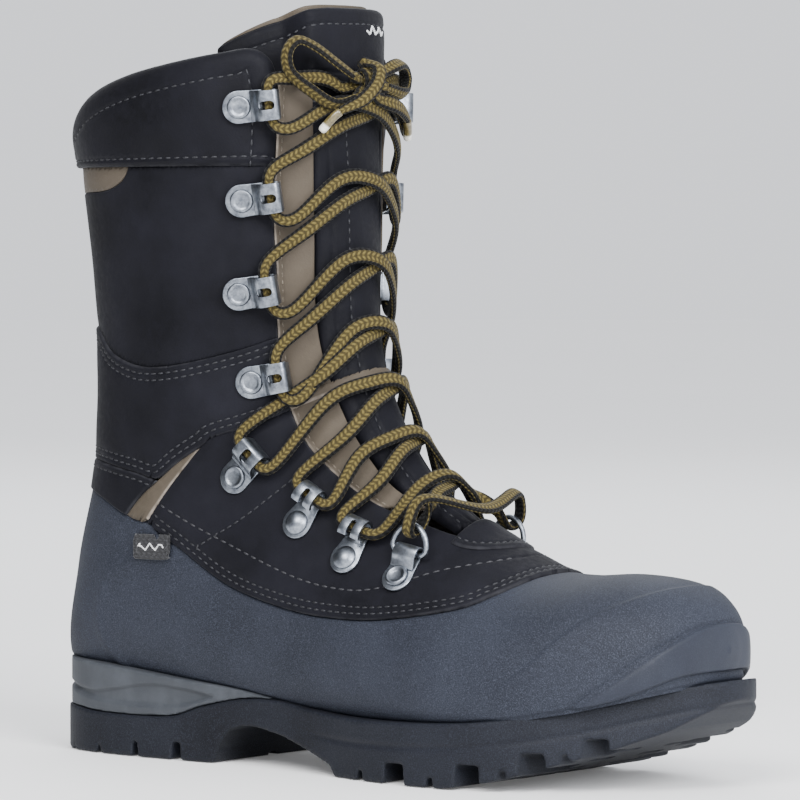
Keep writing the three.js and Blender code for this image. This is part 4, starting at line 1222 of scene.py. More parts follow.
def build_collar():
    """The padded collar: a rolled leather edge over the lining, with a sewn line inside it."""
    roll = 7.5
    part = region(SKIN, [above_collar, below_top, beside_slot])
    top = lambda q: np.minimum(below_top(q), beside_slot(q))
    part.terrace(top, (0.3, 0.9, 1.8, 3.0, 4.6, 6.4))
    part.terrace(above_collar, EDGE_LEVELS)
    rows = [offset_field(top, 10.5), offset_field(above_collar, 3.2)]
    grooves(part, rows, 1.2)

    def outer(q):
        d = top(q)
        t = np.clip(1 - d / roll, 0, 1)
        rolled = 5.4 * (1 - np.sqrt(1 - t * t))
        p, _ = q.points()
        swell = 0.8 * np.sin(np.clip((p[:, 2] - 238) / 34, 0, 1) * math.pi)
        depth = -2.6 - swell + rolled + rounded(above_collar(q), 2.0)
        depth += groove_depth(q, rows, 1.2, 0.55)
        return depth + 0.45 * fast_noise(p, 36, 12) * smoothstep(2, 12, np.minimum(d, above_collar(q)))

    verts, faces = closed_shell(part, outer(part), 2.9)
    edge = np.concatenate([above_collar(part), np.full(len(part.ua), FAR_FROM_EDGE)])
    obj = weld(new_object("padded_collar", verts, faces, "boot", SOFT_BLACK, "collar_panel",
                          attributes={"edge": edge}))
    sew("collar_stitches", part, rows, outer, "boot", BLACK_THREAD, pitch=4.0, length=2.9)


LINING_EDGE = [[-8, 92], [6, 92], [12, 97], [17, 113], [19, 150], [22, 184], [24, 223], [26.5, 330]]
LINING_FLOOR = 34


def build_lining():
    """The lined bootie: its rolled rim at the top, and its inner face down to the footbed."""
    part = region(SKIN, [below_top, slot_field(LINING_EDGE)])
    part.keep(snapped(part.points()[0][:, 2] - LINING_FLOOR))
    part.terrace(below_top, (0.5, 1.4, 2.8))
    foot = 1 - smoothstep(14, 16, part.ua[:, 0])
    p, _ = part.points()
    d = below_top(part)
    outer_depth = 3.2 + 3.1 * foot + rounded(d, 3.0)
    inner_depth = 9.2 + 0.5 * foot - rounded(d, 3.0) + 0.5 * fast_noise(p, 30, 21) * smoothstep(3, 20, d)
    verts, faces = closed_shell(part, outer_depth, inner_depth)
    weld(new_object("lined_bootie", verts, faces, "boot", LINING, "insulation_bootie"))


for panel in (vamp, skirt, ankle, shaft, insert, tan):
    panel.build()
sew("vamp_stitches", vamp.part, vamp.rows[:2], vamp.outer, "boot", BLACK_THREAD)
sew("vamp_row_stitches", vamp.part, [upper_row], vamp.outer, "boot", GREY_THREAD, pitch=4.2, length=3.1,
    limits=[between(-92, 66)])
sew("vamp_seam_stitches", vamp.part, [diagonal_row], vamp.outer, "boot", BLACK_THREAD,
    limits=[between(-68, -18)])
sew("skirt_stitches", skirt.part, skirt.rows, skirt.outer, "boot", BLACK_THREAD)
sew("ankle_stitches", ankle.part, ankle.rows, ankle.outer, "boot", BLACK_THREAD)
build_strips()
build_collar()
build_lining()


# ---- Rubber foot shell ---------------------------------------------------------------------------
BUMPER_LENS = [[116, 30], [124, 36], [133, 43], [141, 50], [148, 57.5], [152, 63], [160, 68], [170, 70]]
BUMPER_REAR = 108
BUMPER_LOW = [[112, 32], [122, 33], [132, 36], [142, 40.5], [150, 45], [160, 47]]
TOE_LINE = [[84, 20], [88, 35], [96, 43], [103, 49], [114, 60], [125, 69], [134, 74.5], [141, 78], [150, 82]]
COUNTER_LINE = [[-80, 98], [-90, 84], [-110, 75], [-118, 70], [-123, 57], [-121, 45], [-112, 34]]


def build_shell():
    """The rubber foot shell: toe bumper, crease across the toes, moulded counter line, soft rims."""
    part = region(SKIN, [below_shell, above_sole])
    lens = side_field(BUMPER_LENS, below=True)
    low = side_field(BUMPER_LOW)
    toe = side_field(TOE_LINE, below=True)
    counter = side_field(COUNTER_LINE)
    bumper = lambda q: np.where(q.points()[0][:, 0] > BUMPER_REAR, np.minimum(lens(q), low(q)), -20.0)
    for f, levels in ((bumper, (-1.0, 0.0, 1.4)), (toe, (-0.9, 0.0, 0.9)), (below_shell, (0.5, 1.4)),
                      (above_sole, (1.2, 2.1, 3.0))):
        part.terrace(f, levels)
    p, _ = part.points()
    b = bumper(part)
    depth = -1.2 * smoothstep(-1.0, 1.4, b)
    depth += 0.5 * np.exp(-((b + 1.0) / 0.8) ** 2)
    in_front = smoothstep(82, 96, p[:, 0])
    t = toe(part)
    depth -= 0.55 * smoothstep(-0.9, 0.9, t) * in_front * (1 - smoothstep(0, 26, t) * 0.7)
    c = counter(part)
    near = (p[:, 0] < -70) & (p[:, 0] > -140)
    depth -= np.where(near, 0.7 * np.exp(-(c / 2.6) ** 2), 0)
    s = above_sole(part)
    depth += 0.5 * (1 - smoothstep(SOLE_LAP - 0.6, SOLE_LAP + 1.2, s))
    depth += 0.9 * rounded(below_shell(part), 1.4)
    depth += 0.15 * fast_noise(p, 60, 31)
    verts, faces = closed_shell(part, depth, 4.4)
    smooth = smoothstep(-0.4, 1.2, b)
    weld(new_object("foot_shell_rubber", verts, faces, "boot", SHELL_RUBBER, "foot_shell",
                    attributes={"smooth": np.concatenate([smooth, smooth])}))


build_shell()


# ---- Tongue, footbed, throat patch and tag -------------------------------------------------------
TONGUE_EDGE = [[10, 98], [11.5, 108], [15, 130], [18.5, 170], [22, 223], [24, 250], [30, 262], [42, 272],
               [49, 280], [50, 285], [44, 291], [34, 296], [20, 299], [0, 299.5]]
TONGUE_FOOT, TONGUE_PAD, TONGUE_LINING_FOOT, TONGUE_FOLD = 98.0, 262.0, 268.0, 273.0
TONGUE_ROW = -7.5
tongue_edge = slot_field(TONGUE_EDGE, inside=True)


def tongue_depth(p):
    """The tongue's front lies under the laces, and its wings fold away inside the lining."""
    return 0.5 + 10.5 * smoothstep(23.5, 33, np.abs(p[:, 1] - SLOT_Y))


def thinned(p):
    """How much thinner the tongue is towards the edges of its wings."""
    return 2.2 * smoothstep(24, 33, np.abs(p[:, 1] - SLOT_Y))


def build_tongue():
    part = region(SKIN, [tongue_edge, lambda q: q.points()[0][:, 2] - TONGUE_FOOT])
    part.terrace(tongue_edge, (0.4, 1.1, 2.2, 3.4))
    rim_row = offset_field(tongue_edge, 7.0)
    fold = lambda q: snapped(q.points()[0][:, 2] - TONGUE_FOLD)

    def middle_row(q):
        p, _ = q.points()
        return snapped(np.where(p[:, 2] < TONGUE_PAD, p[:, 1] - SLOT_Y - TONGUE_ROW, 50.0))

    grooves(part, [middle_row, rim_row, fold], 1.3)

    def outer(q):
        p, _ = q.points()
        d = tongue_edge(q)
        depth = tongue_depth(p) + rounded(d, 3.4) * 0.8
        puff = smoothstep(1, 14, d) * smoothstep(2, 16, np.abs(p[:, 1] - SLOT_Y - TONGUE_ROW) + 4)
        depth -= 0.9 * puff * smoothstep(255, 270, p[:, 2])
        depth += groove_depth(q, [middle_row, rim_row], 1.3, 0.5)
        depth += groove_depth(q, [fold], 1.3, 0.7)
        return depth + 0.4 * fast_noise(p, 26, 41) * smoothstep(2, 10, d)

    p, _ = part.points()
    inner = tongue_depth(p) + 6.2 - thinned(p) - 0.6 * rounded(tongue_edge(part), 3.4)
    verts, faces = closed_shell(part, outer(part), inner)
    edge = np.full(len(verts), FAR_FROM_EDGE)
    obj = weld(new_object("padded_tongue", verts, faces, "tongue_flap", SOFT_BLACK, "tongue",
                          attributes={"edge": edge}))
    sew("tongue_mark", part, [zigzag(1, 5.5, 2, 289.5, 2.2)], outer, "tongue_flap", WHITE_THREAD, pitch=0.9,
        length=1.2, radius=0.5, limits=[between(7, 21, 1)])
    sew("tongue_stitches", part, [middle_row], outer, "tongue_flap", BLACK_THREAD, pitch=3.8, length=2.7)
    sew("tongue_rim_stitches", part, [rim_row], outer, "tongue_flap", BLACK_THREAD, pitch=3.8, length=2.7,
        limits=[between(TONGUE_PAD, 300, 2)])


def tongue_lining():
    """Tan lining that shows as a rim behind the top of the tongue."""
    sheet = region(SKIN, [tongue_edge, lambda q: snapped(q.points()[0][:, 2] - TONGUE_LINING_FOOT)])
    sheet.terrace(tongue_edge, (0.4, 1.2))
    p, _ = sheet.points()
    depth = tongue_depth(p) + 6.4 - thinned(p)
    verts, faces = closed_shell(sheet, depth + 0.3 * rounded(tongue_edge(sheet), 1.2), depth + 1.8)
    lift = smoothstep(272, 298, verts[:, 2]) * 2.6
    verts[:, 2] = np.minimum(verts[:, 2] + lift, 300.5)
    obj = weld(new_object("tongue_lining", verts, faces, "tongue_flap", TAN_LEATHER,
                          attributes={"edge": np.full(len(verts), FAR_FROM_EDGE)}))


def build_patch():
    """Leather patch at the foot of the tongue."""
    centre, radii = np.array([45.0, 3.0]), np.array([17.0, 21.0])

    def field(q):
        p, _ = q.points()
        r = np.linalg.norm((p[:, :2] - centre) / radii, axis=1)
        value = (1 - r) * radii.min()
        value[p[:, 2] < 60] = -20.0
        return snapped(value)

    front = lambda q: snapped(q.points()[0][:, 0] - 44.0)
    patch = Panel("throat_leather", "throat_patch", SOFT_BLACK, [field, front], 2.3, back=-1.2,
                  free=[field, front], rows=[offset_field(field, 2.6)], puff=0.4, ripple=0.2, radius=0.9,
                  seed=15)
    patch.build()
    sew("throat_stitches", patch.part, patch.rows, patch.outer, "boot", BLACK_THREAD, pitch=3.2, length=2.2)


def zigzag(axis, period, height_axis, level, height):
    """Field of a plain zigzag line of thread."""
    def field(q):
        p, _ = q.points()
        wave = np.abs((p[:, axis] / period) % 1.0 - 0.5) * 4 - 1
        return p[:, height_axis] - level - height * wave
    return field


def build_tag():
    """Small woven tag below the tan piping of the outer side."""
    def field(q):
        p, _ = q.points()
        value = np.min([p[:, 0] + 99, -80 - p[:, 0], p[:, 2] - 80, 90 - p[:, 2]], axis=0)
        value[p[:, 1] > -20] = -20.0
        return snapped(value)

    tag = Panel("woven_tag", "side_tag", LABEL_BLACK, [field], 2.3, back=-1.7, free=[field],
                rows=[offset_field(field, 1.6)], puff=0.3, ripple=0.3, radius=0.5, seed=16)
    tag.build()
    sew("tag_stitches", tag.part, tag.rows, tag.outer, "boot", GREY_THREAD, pitch=2.6, length=1.8,
        radius=0.26)
    mark = zigzag(0, 5.0, 2, 85.0, 1.5)
    sew("tag_mark", tag.part, [mark], tag.outer, "boot", WHITE_THREAD, pitch=0.9, length=1.1, radius=0.34,
        limits=[between(-96, -83)])


FOOTBED_DEPTH = 10.3
FOOTBED_TOP = 15.6
FOOTBED_UNDER = 11.4
FOOTBED_RINGS = 14


def ring_faces(rings, n):
    """Faces between rings of n points each."""
    return [[r * n + k, r * n + (k + 1) % n, (r + 1) * n + (k + 1) % n, (r + 1) * n + k]
            for r in range(rings - 1) for k in range(n)]


def build_footbed():
    """Felted footbed with raised edges, inside the lining."""
    part = SKIN.copy()
    u, a = part.ua.T
    p = layer_point(u, a, FOOTBED_DEPTH)
    sole = smooth_line(SOLE_TOP)
    height = p[:, 2] - np.interp(p[:, 0], sole[:, 0], sole[:, 1]) - 13.5
    line = max(contour(part, height), key=len)
    rim = layer_point(line[:, 0], line[:, 1], FOOTBED_DEPTH)
    spine = np.stack([np.clip(rim[:, 0], -108, 112), np.full(len(rim), 3.0), rim[:, 2]], 1)
    rings, low = [], []
    for t in np.linspace(0.02, 1.0, FOOTBED_RINGS):
        q = spine + (rim - spine) * t
        base = np.interp(q[:, 0], sole[:, 0], sole[:, 1])
        q[:, 2] = base + FOOTBED_TOP - 1.6 * (1 - t ** 3) + 0.25 * fast_noise(q, 18, 51)
        rings.append(q)
        under = q.copy()
        under[:, 2] = base + FOOTBED_UNDER
        low.append(under)
    verts = np.vstack(rings[::-1] + low)
    n = len(rim)
    obj = new_object("felt_footbed", verts, ring_faces(2 * FOOTBED_RINGS, n), "boot", FOOTBED_FELT, "footbed")
    face_outward(obj.data)


build_tongue()
tongue_lining()
build_patch()
build_tag()
build_footbed()


# ---- Lacing hardware -----------------------------------------------------------------------------
COLLAR_OUTER, PANEL_OUTER = -3.0, -1.0
# each fitting: section number, angle and depth of its seat
LOOPS = [(16.67, 0.88, COLLAR_OUTER), (15.17, 0.93, PANEL_OUTER), (13.83, 0.98, PANEL_OUTER),
         (12.33, 0.88, PANEL_OUTER), (11.33, 1.08, PANEL_OUTER)]
HOOKS = [(10.0, 0.98, PANEL_OUTER), (9.0, 0.93, PANEL_OUTER)]
CLIP = (8.0, 0.83, PANEL_OUTER)
PLATE, FOOT, EYE = 1.2, 0.6, 5.6
EYE_X, EYE_Z = 7.4, FOOT + PLATE + EYE / 2
RING_X, RING_Z, RING_WIRE, RING_REACH, RING_TILT = 5.6, FOOT + PLATE + 1.5, 1.1, 11, 0.62
HEAD_X = -4.6
LEVEL_FROM = 12.0
LEVELLED = 0.75
SIDES = (("outer", -1), ("inner", 1))


def unit(v):
    return v / np.linalg.norm(v)


class Seat:
    """Frame on the leather: inward to the laces, rise up along them, and the outward normal."""

    def __init__(self, u, angle, depth):
        at = lambda du, da: layer_point(u + du, angle + da, depth)[0]
        self.origin = at(0, 0)
        up = unit(at(0.1, 0) - at(-0.1, 0))
        side = unit(at(0, -math.copysign(0.05, angle)) - at(0, math.copysign(0.05, angle)))
        normal = unit(np.cross(side, up))
        if normal[0] < 0 and normal[2] < 0.5:
            normal = -normal
        if normal[1] * angle < 0:
            normal = -normal
        self.normal = normal
        inward = unit(side - normal * (side @ normal))
        if u > LEVEL_FROM:
            level = unit(np.cross(normal, [0, 0, 1]))
            level *= math.copysign(1, level @ inward)
            inward = unit(inward + (level - inward) * LEVELLED)
        self.inward = inward
        self.across = np.cross(normal, self.inward)
        self.rise = self.across if self.across @ up > 0 else -self.across

    def place(self, local):
        local = np.asarray(local, float)
        return (self.origin + local[:, :1] * self.inward + local[:, 1:2] * self.across
                + local[:, 2:3] * self.normal)

    def point(self, x, rise, z):
        return self.origin + x * self.inward + rise * self.rise + z * self.normal


def ribbon_solid(path, thickness, half_width):
    """Bent sheet: a side path of [x, z] with thickness, whose half width depends on the length run."""
    line = smooth_line(path, 6)
    t = np.gradient(line, axis=0)
    t /= np.linalg.norm(t, axis=1, keepdims=True)
    n = np.stack([-t[:, 1], t[:, 0]], 1) * thickness / 2
    run = np.linspace(0, 1, len(line))
    w = np.array([half_width(s) for s in run])
    rings = []
    for k, (x, z) in enumerate(line):
        a, b = (x + n[k, 0], z + n[k, 1]), (x - n[k, 0], z - n[k, 1])
        rings.append([(a[0], -w[k], a[1]), (a[0], w[k], a[1]), (b[0], w[k], b[1]), (b[0], -w[k], b[1])])
    verts = np.array(rings).reshape(-1, 3)
    faces = []
    for k in range(len(line) - 1):
        for j in range(4):
            a, b = 4 * k + j, 4 * k + (j + 1) % 4
            faces.append([a, b, b + 4, a + 4])
    faces += [[3, 2, 1, 0], [len(verts) - 4 + j for j in range(4)]]
    return scratch_object(verts, faces)


def turned(profile, centre_x, base_z, segments=40):
    """Lathe of [radius, height] points, closed underneath."""
    profile = [(max(r, 0.01), z) for r, z in profile]
    verts = []
    for r, z in profile:
        for k in range(segments):
            angle = 2 * math.pi * k / segments
            verts.append((centre_x + r * math.cos(angle), r * math.sin(angle), base_z + z))
    faces = ring_faces(len(profile), segments)
    faces.append(list(range(segments)))
    faces.append(list(range(len(verts) - segments, len(verts)))[::-1])
    return scratch_object(verts, faces)


def slab(outline, z0, z1):
    n = len(outline)
    verts = [(x, y, z) for z in (z0, z1) for x, y in outline]
    faces = ring_faces(2, n) + [list(range(n))[::-1], list(range(n, 2 * n))]
    return scratch_object(verts, faces)


def stadium(x0, x1, radius, z0, z1):
    """Round-ended slot standing along the normal."""
    outline = []
    for centre, start in ((x1, -90), (x0, 90)):
        for k in range(9):
            angle = math.radians(start + 180 * k / 8)
            outline.append((centre + radius * math.cos(angle), radius * math.sin(angle)))
    return slab(outline, z0, z1)


def teardrop(radius, x_end, half_end, z0, z1):
    """Flat plate: round at the rivet, straight-sided to its inner end."""
    outline = []
    for k in range(25):
        angle = math.radians(80 + 200 * k / 24)
        outline.append((HEAD_X + radius * math.cos(angle), radius * math.sin(angle)))
    outline += [(x_end - 1, -half_end), (x_end, -half_end + 1), (x_end, half_end - 1), (x_end - 1, half_end)]
    return slab(outline, z0, z1)


def eased(obj, width=0.28, segments=2, angle=0.6):
    """Rounds the sharp edges and gives back (vertices, faces)."""
    bm = bmesh.new()
    bm.from_mesh(obj.data)
    bmesh.ops.remove_doubles(bm, verts=bm.verts, dist=0.01)
    sharp = [e for e in bm.edges if len(e.link_faces) == 2 and e.calc_face_angle(0) > angle]
    bmesh.ops.bevel(bm, geom=sharp, offset=width, segments=segments, profile=0.5, affect="EDGES",
                    clamp_overlap=True)
    bmesh.ops.recalc_face_normals(bm, faces=bm.faces)
    verts = np.array([v.co[:] for v in bm.verts])
    bm.verts.index_update()
    faces = [[v.index for v in f.verts] for f in bm.faces]
    bm.free()
    bpy.data.objects.remove(obj)
    return verts, faces


def merged(*parts):
    verts, faces, start = [], [], 0
    for v, f in parts:
        verts.append(v)
        faces += [[i + start for i in face] for face in f]
        start += len(v)
    return np.vstack(verts), faces


TOP = FOOT + PLATE + EYE + PLATE / 2


def stud(profile, lift=0.3):
    """Rivet head of [radius, height] points on the plate."""
    return eased(turned(profile, HEAD_X, FOOT + PLATE + lift), 0.05, 1, 1.2)


def loop_shape():
    plate = teardrop(6.5, 11.2, 6.0, FOOT, FOOT + PLATE)
    bridge = ribbon_solid([[0.4, 2.2], [2.0, 3.6], [3.4, 6.4], [5.2, TOP], [8.4, TOP], [10.2, TOP - 0.3],
                           [11.0, TOP - 1.6], [11.1, 4.4], [11.0, 1.4]], PLATE, lambda s: 6.1 - 0.5 * s)
    combined(bridge, stadium(5.1, 8.1, 1.7, TOP - 2, TOP + 2), "DIFFERENCE")
    head = stud([(0, 0.62), (2.3, 0.58), (2.9, 0.72), (3.3, 1.06), (4.0, 1.12), (4.5, 0.8), (4.7, 0.1)], 0.0)
    return merged(eased(plate), eased(bridge, 0.24), head)


def hook_shape():
    plate = teardrop(6.3, 9.0, 4.1, FOOT, FOOT + PLATE)
    claw = ribbon_solid([[2.0, 1.2], [7.0, 1.25], [9.8, 1.9], [11.0, 3.8], [10.9, 6.2], [9.2, 8.0],
                         [6.8, 8.7], [4.4, 8.5], [2.6, 7.3]], PLATE, lambda s: 3.9 + 1.3 * s)
    combined(claw, stadium(-4, 8.2, 1.15, 4.2, 12), "DIFFERENCE")
    return merged(eased(plate), eased(claw, 0.26))


def clip_shape():
    plate = teardrop(6.3, 6.0, 5.2, FOOT, FOOT + PLATE)
    fold = ribbon_solid([[-0.6, 2.0], [1.6, 3.6], [3.4, 5.2], [5.6, 6.0], [7.6, 5.2], [8.4, 3.4], [7.6, 1.7],
                         [5.4, 1.2]], PLATE, lambda s: 5.3)
    return merged(eased(plate), eased(fold, 0.26))


DOME = [(0, 2.3), (1.2, 2.22), (2.4, 1.9), (3.5, 1.3), (4.2, 0.75), (4.7, 0.3), (4.8, 0.0)]
DISHED = [(0, 0.30), (1.8, 0.32), (2.6, 0.55), (3.1, 1.1), (3.8, 1.25), (4.4, 0.9), (4.8, 0.1)]


def ring_shape():
    """D-shaped wire through the clip."""
    c, s = math.cos(RING_TILT), math.sin(RING_TILT)
    flat = [(0.0, y) for y in np.linspace(-5, 5, 8)] + [(0.5, 6.9), (1.8, 7.9)]
    flat += [(1.8 + (RING_REACH - 1.8) * math.cos(t), 7.9 * math.sin(t))
             for t in np.linspace(math.pi / 2 - 0.2, -math.pi / 2 + 0.2, 22)]
    flat += [(1.8, -7.9), (0.5, -6.9)]
    line = np.array([(RING_X + x * c, y, RING_Z + x * s) for x, y in flat])
    line = np.vstack([line, line[:1]])
    n, sides = len(line) - 1, 14
    verts, faces = [], []
    plane = np.array([-s, 0, c])
    for k in range(n):
        t = unit(line[(k + 1) % n] - line[k - 1])
        out = np.cross(t, plane)
        for j in range(sides):
            angle = 2 * math.pi * j / sides
            verts.append(line[k] + RING_WIRE * (math.cos(angle) * out + math.sin(angle) * plane))
    for k in range(n):
        for j in range(sides):
            a, b = k * sides + j, k * sides + (j + 1) % sides
            m = ((k + 1) % n) * sides
            faces.append([a, b, m + (j + 1) % sides, m + j])
    return eased(scratch_object(verts, faces), 0.01, 1, 3.0)


def fit(name, shape, seat, body, node, material):
    verts, faces = shape
    new_object(name, seat.place(verts), faces, body, material, node)


SHAPES = {"loop": loop_shape(), "hook": hook_shape(), "dome": stud(DOME), "clip": clip_shape(),
          "dished": stud(DISHED), "ring": ring_shape()}
SEATS = {}
for side, sign in SIDES:
    seats = {"loops": [Seat(u, sign * a, d) for u, a, d in LOOPS],
             "hooks": [Seat(u, sign * a, d) for u, a, d in HOOKS],
             "clip": Seat(CLIP[0], sign * CLIP[1], CLIP[2])}
    SEATS[side] = seats
    for i, seat in enumerate(seats["loops"], 1):
        fit(f"lace_loop_{side}_{i}", SHAPES["loop"], seat, "boot", f"loop_{side}_{i}", PEWTER)
    for i, seat in enumerate(seats["hooks"], 1):
        fit(f"lace_hook_{side}_{i}", SHAPES["hook"], seat, "boot", f"hook_{side}_{i}", BRIGHT_PEWTER)
        fit(f"hook_stud_{side}_{i}", SHAPES["dome"], seat, "boot", f"hook_rivet_{side}_{i}", BRIGHT_PEWTER)
    fit(f"clip_strap_{side}", SHAPES["clip"], seats["clip"], "boot", f"ring_clip_{side}", BRIGHT_PEWTER)
    fit(f"clip_stud_{side}", SHAPES["dished"], seats["clip"], "boot", f"ring_rivet_{side}", PEWTER)
    fit(f"wire_ring_{side}", SHAPES["ring"], seats["clip"], f"ring_{side}", f"d_ring_{side}", BRIGHT_PEWTER)


# ---- Laces ---------------------------------------------------------------------------------------
LACE_WIDTH, LACE_THICK = 6.0, 2.9
# how far the lace's middle lies off the leather: over and under its own crossing, and elsewhere
OVER, UNDER, RUN = 8.4, 3.0, 6.2
LEVELS = LOOPS + HOOKS
LEG_AXIS = np.array([-45.0, 2.0, 0.0])


def rope_line(points, pitch=1.0, soften=0.0):
    """Centripetal curve through the points, at even pitch. Also gives where each point lies on it."""
    p = np.asarray(points, float)
    p = np.vstack([2 * p[0] - p[1], p, 2 * p[-1] - p[-2]])
    gaps = np.maximum(np.linalg.norm(np.diff(p, axis=0), axis=1), 1e-4) ** 0.5
    out, marks = [], []
    t = np.arange(12)[:, None] / 12
    for k in range(1, len(p) - 2):
        x0, x1, x2, x3 = p[k - 1:k + 3]
        d0, d1, d2 = gaps[k - 1:k + 2]
        m1 = ((x1 - x0) / d0 - (x2 - x0) / (d0 + d1) + (x2 - x1) / d1) * d1
        m2 = ((x2 - x1) / d1 - (x3 - x1) / (d1 + d2) + (x3 - x2) / d2) * d1
        marks.append(len(out) * 12)
        out.append(x1 + m1 * t + (3 * x2 - 3 * x1 - 2 * m1 - m2) * t ** 2
                   + (2 * x1 - 2 * x2 + m1 + m2) * t ** 3)
    marks.append(len(out) * 12)
    line = np.vstack(out + [p[-2:-1]])
    run = np.concatenate([[0], np.cumsum(np.linalg.norm(np.diff(line, axis=0), axis=1))])
    count = max(int(run[-1] / pitch), 4) + 1
    at = np.linspace(0, run[-1], count)
    even = np.stack([np.interp(at, run, line[:, k]) for k in range(3)], 1)
    for _ in range(int(soften)):
        even[1:-1] += 0.25 * (even[:-2] + even[2:] - 2 * even[1:-1])
    return even, run[np.array(marks)] / run[-1]


def tangents(line):
    t = np.gradient(line, axis=0)
    return t / np.linalg.norm(t, axis=1, keepdims=True)


def carried_frames(line):
    t = tangents(line)
    a = unit(np.cross(t[0], [0.31, 0.52, 0.8]))
    frames = []
    for k in range(len(line)):
        a = unit(a - t[k] * (a @ t[k]))
        frames.append(a)
    a = np.array(frames)
    return t, a, np.cross(t, a)


SECTION_POINTS = 18


def flat_tube(line, facing, at, width, thick):
    """Oval tube whose face looks along `facing` at the marks; gives vertices, faces and UV."""
    t, a, b = carried_frames(line)
    n = len(line)
    share = np.linspace(0, 1, n)
    index = np.clip(np.round(np.asarray(at) * (n - 1)).astype(int), 0, n - 1)
    angles = []
    for k, f in zip(index, facing):
        angle = math.atan2(f @ b[k], f @ a[k])
        if angles:
            angle += 2 * math.pi * round((angles[-1] - angle) / (2 * math.pi))
        angles.append(angle)
    turn = np.interp(share, at, angles)
    kernel = np.ones(5) / 5
    turn = np.convolve(np.pad(turn, 2, mode="edge"), kernel, mode="valid")
    face = a * np.cos(turn)[:, None] + b * np.sin(turn)[:, None]
    side = np.cross(face, t)
    w = np.interp(share, at, width) / 2
    h = np.interp(share, at, thick) / 2
    angle = np.arange(SECTION_POINTS + 1) * 2 * math.pi / SECTION_POINTS
    c, s = signed_power(np.cos(angle), 0.8), signed_power(np.sin(angle), 0.8)
    verts = (line[:, None] + side[:, None] * (w[:, None] * c)[:, :, None]
             + face[:, None] * (h[:, None] * s)[:, :, None])
    run = np.concatenate([[0], np.cumsum(np.linalg.norm(np.diff(line, axis=0), axis=1))])
    uv = np.stack(np.broadcast_arrays(np.arange(SECTION_POINTS + 1)[None] / SECTION_POINTS, run[:, None]), 2)
    m = SECTION_POINTS + 1
    i, j = np.meshgrid(np.arange(n - 1), np.arange(SECTION_POINTS), indexing="ij")
    q = (i * m + j).ravel()
    faces = np.stack([q, q + 1, q + m + 1, q + m], 1)
    return verts.reshape(-1, 3), faces.tolist(), uv.reshape(-1, 2)


def capped(verts, faces, uv):
    """Closes both ends with a ring of smaller points and a face."""
    m = SECTION_POINTS + 1
    n = len(verts)
    extra, extra_uv = [], []
    for start, step in ((0, 1), (n - m, -1)):
        ring = verts[start:start + m]
        neighbour = verts[start + step * m:start + step * m + m] if step > 0 else verts[start - m:start]
        centre = ring.mean(0)
        out = unit(centre - neighbour.mean(0))
        extra.append(centre + (ring - centre) * 0.55 + out * 0.7)
        extra_uv.append(uv[start:start + m])
    base = n
    for side, start in ((0, 0), (1, n - m)):
        for k in range(m - 1):
            a, b = start + k, start + k + 1
            c, d = base + side * m + k + 1, base + side * m + k
            faces.append([a, d, c, b] if side == 0 else [a, b, c, d])
        ring = [base + side * m + k for k in range(m - 1)]
        faces.append(ring[::-1] if side == 0 else ring)
    return np.vstack([verts] + extra), faces, np.vstack([uv] + extra_uv)


def lace_piece(name, strands, node):
    """One object of several oval strands, each (line, facing, marks, width, thick)."""
    all_verts, all_faces, all_uv, start = [], [], [], 0
    for strand in strands:
        verts, faces, uv = capped(*flat_tube(*strand))
        all_verts.append(verts)
        all_uv.append(uv)
        all_faces += [[i + start for i in f] for f in faces]
        start += len(verts)
    return weld(new_object(name, np.vstack(all_verts), all_faces, "boot", LACE, node, uv=np.vstack(all_uv)))


class Run:
    """Control points of a lace: place, direction that its face looks, width and thickness."""

    def __init__(self):
        self.rows = []

    def add(self, point, facing, width=LACE_WIDTH, thick=LACE_THICK):
        self.rows.append((np.asarray(point, float), unit(np.asarray(facing, float)), width, thick))
        return self

    def extend(self, other):
        self.rows += other.rows
        return self

    def reversed(self):
        made = Run()
        made.rows = self.rows[::-1]
        return made

    def strand(self, pitch=1.0, soften=3):
        line, marks = rope_line([r[0] for r in self.rows], pitch, soften)
        return (line, [r[1] for r in self.rows], marks, [r[2] for r in self.rows], [r[3] for r in self.rows])


def skin_run(u, angle, height, *size):
    return (layer_point(u, angle, -height)[0], surface_normal(np.array([u]), np.array([angle]))[0], *size)


def seat_at(side, level):
    seats = SEATS[side]
    return seats["loops"][level] if level < len(LOOPS) else seats["hooks"][level - len(LOOPS)]


def through_eye(side, level):
    seat = seat_at(side, level)
    run = Run()
    level_exit = ((9.6, 0, 5.0), (4.5, -0.2, 4.7), (-4.5, -0.2, 4.7), (-8.2, 0.3, 4.7), (-10.6, 5.6, 5.2))
    tilted_exit = ((9.6, 0, 5.0), (4.5, -0.2, 4.7), (-4.5, -0.2, 4.7), (-9.6, 0, 5.0))
    for rise, along, width in level_exit if LEVELS[level][0] > LEVEL_FROM else tilted_exit:
        run.add(seat.point(EYE_X + along, rise, EYE_Z), seat.normal + 0.25 * seat.inward, width, 3.0)
    return run


def round_wire(side):
    """Down over the wire of the ring and back beneath it."""
    seat = SEATS[side]["clip"]
    wire_x = RING_X + RING_REACH * math.cos(RING_TILT)
    wire_z = RING_Z + RING_REACH * math.sin(RING_TILT)
    turn = RING_WIRE + 3.7
    run = Run()
    steps = ((8, 1.35, 0, 1), (0, 1, 0, 1), (-0.75, 0.66, -0.75, 0.66), (-1, 0, -1, 0),
             (-0.75, -0.66, -0.75, -0.66), (0, -1, 0, -1), (5, -0.95, 0, -1))
    for i, (dx, dz, fx, fz) in enumerate(steps):
        x = wire_x + (dx if i in (0, 6) else dx * turn)
        place = seat.point(x, -0.5 if i < 3 else 0.5, wire_z + dz * turn)
        run.add(place, fx * seat.inward + fz * seat.normal, 5.4, 2.7)
    return run


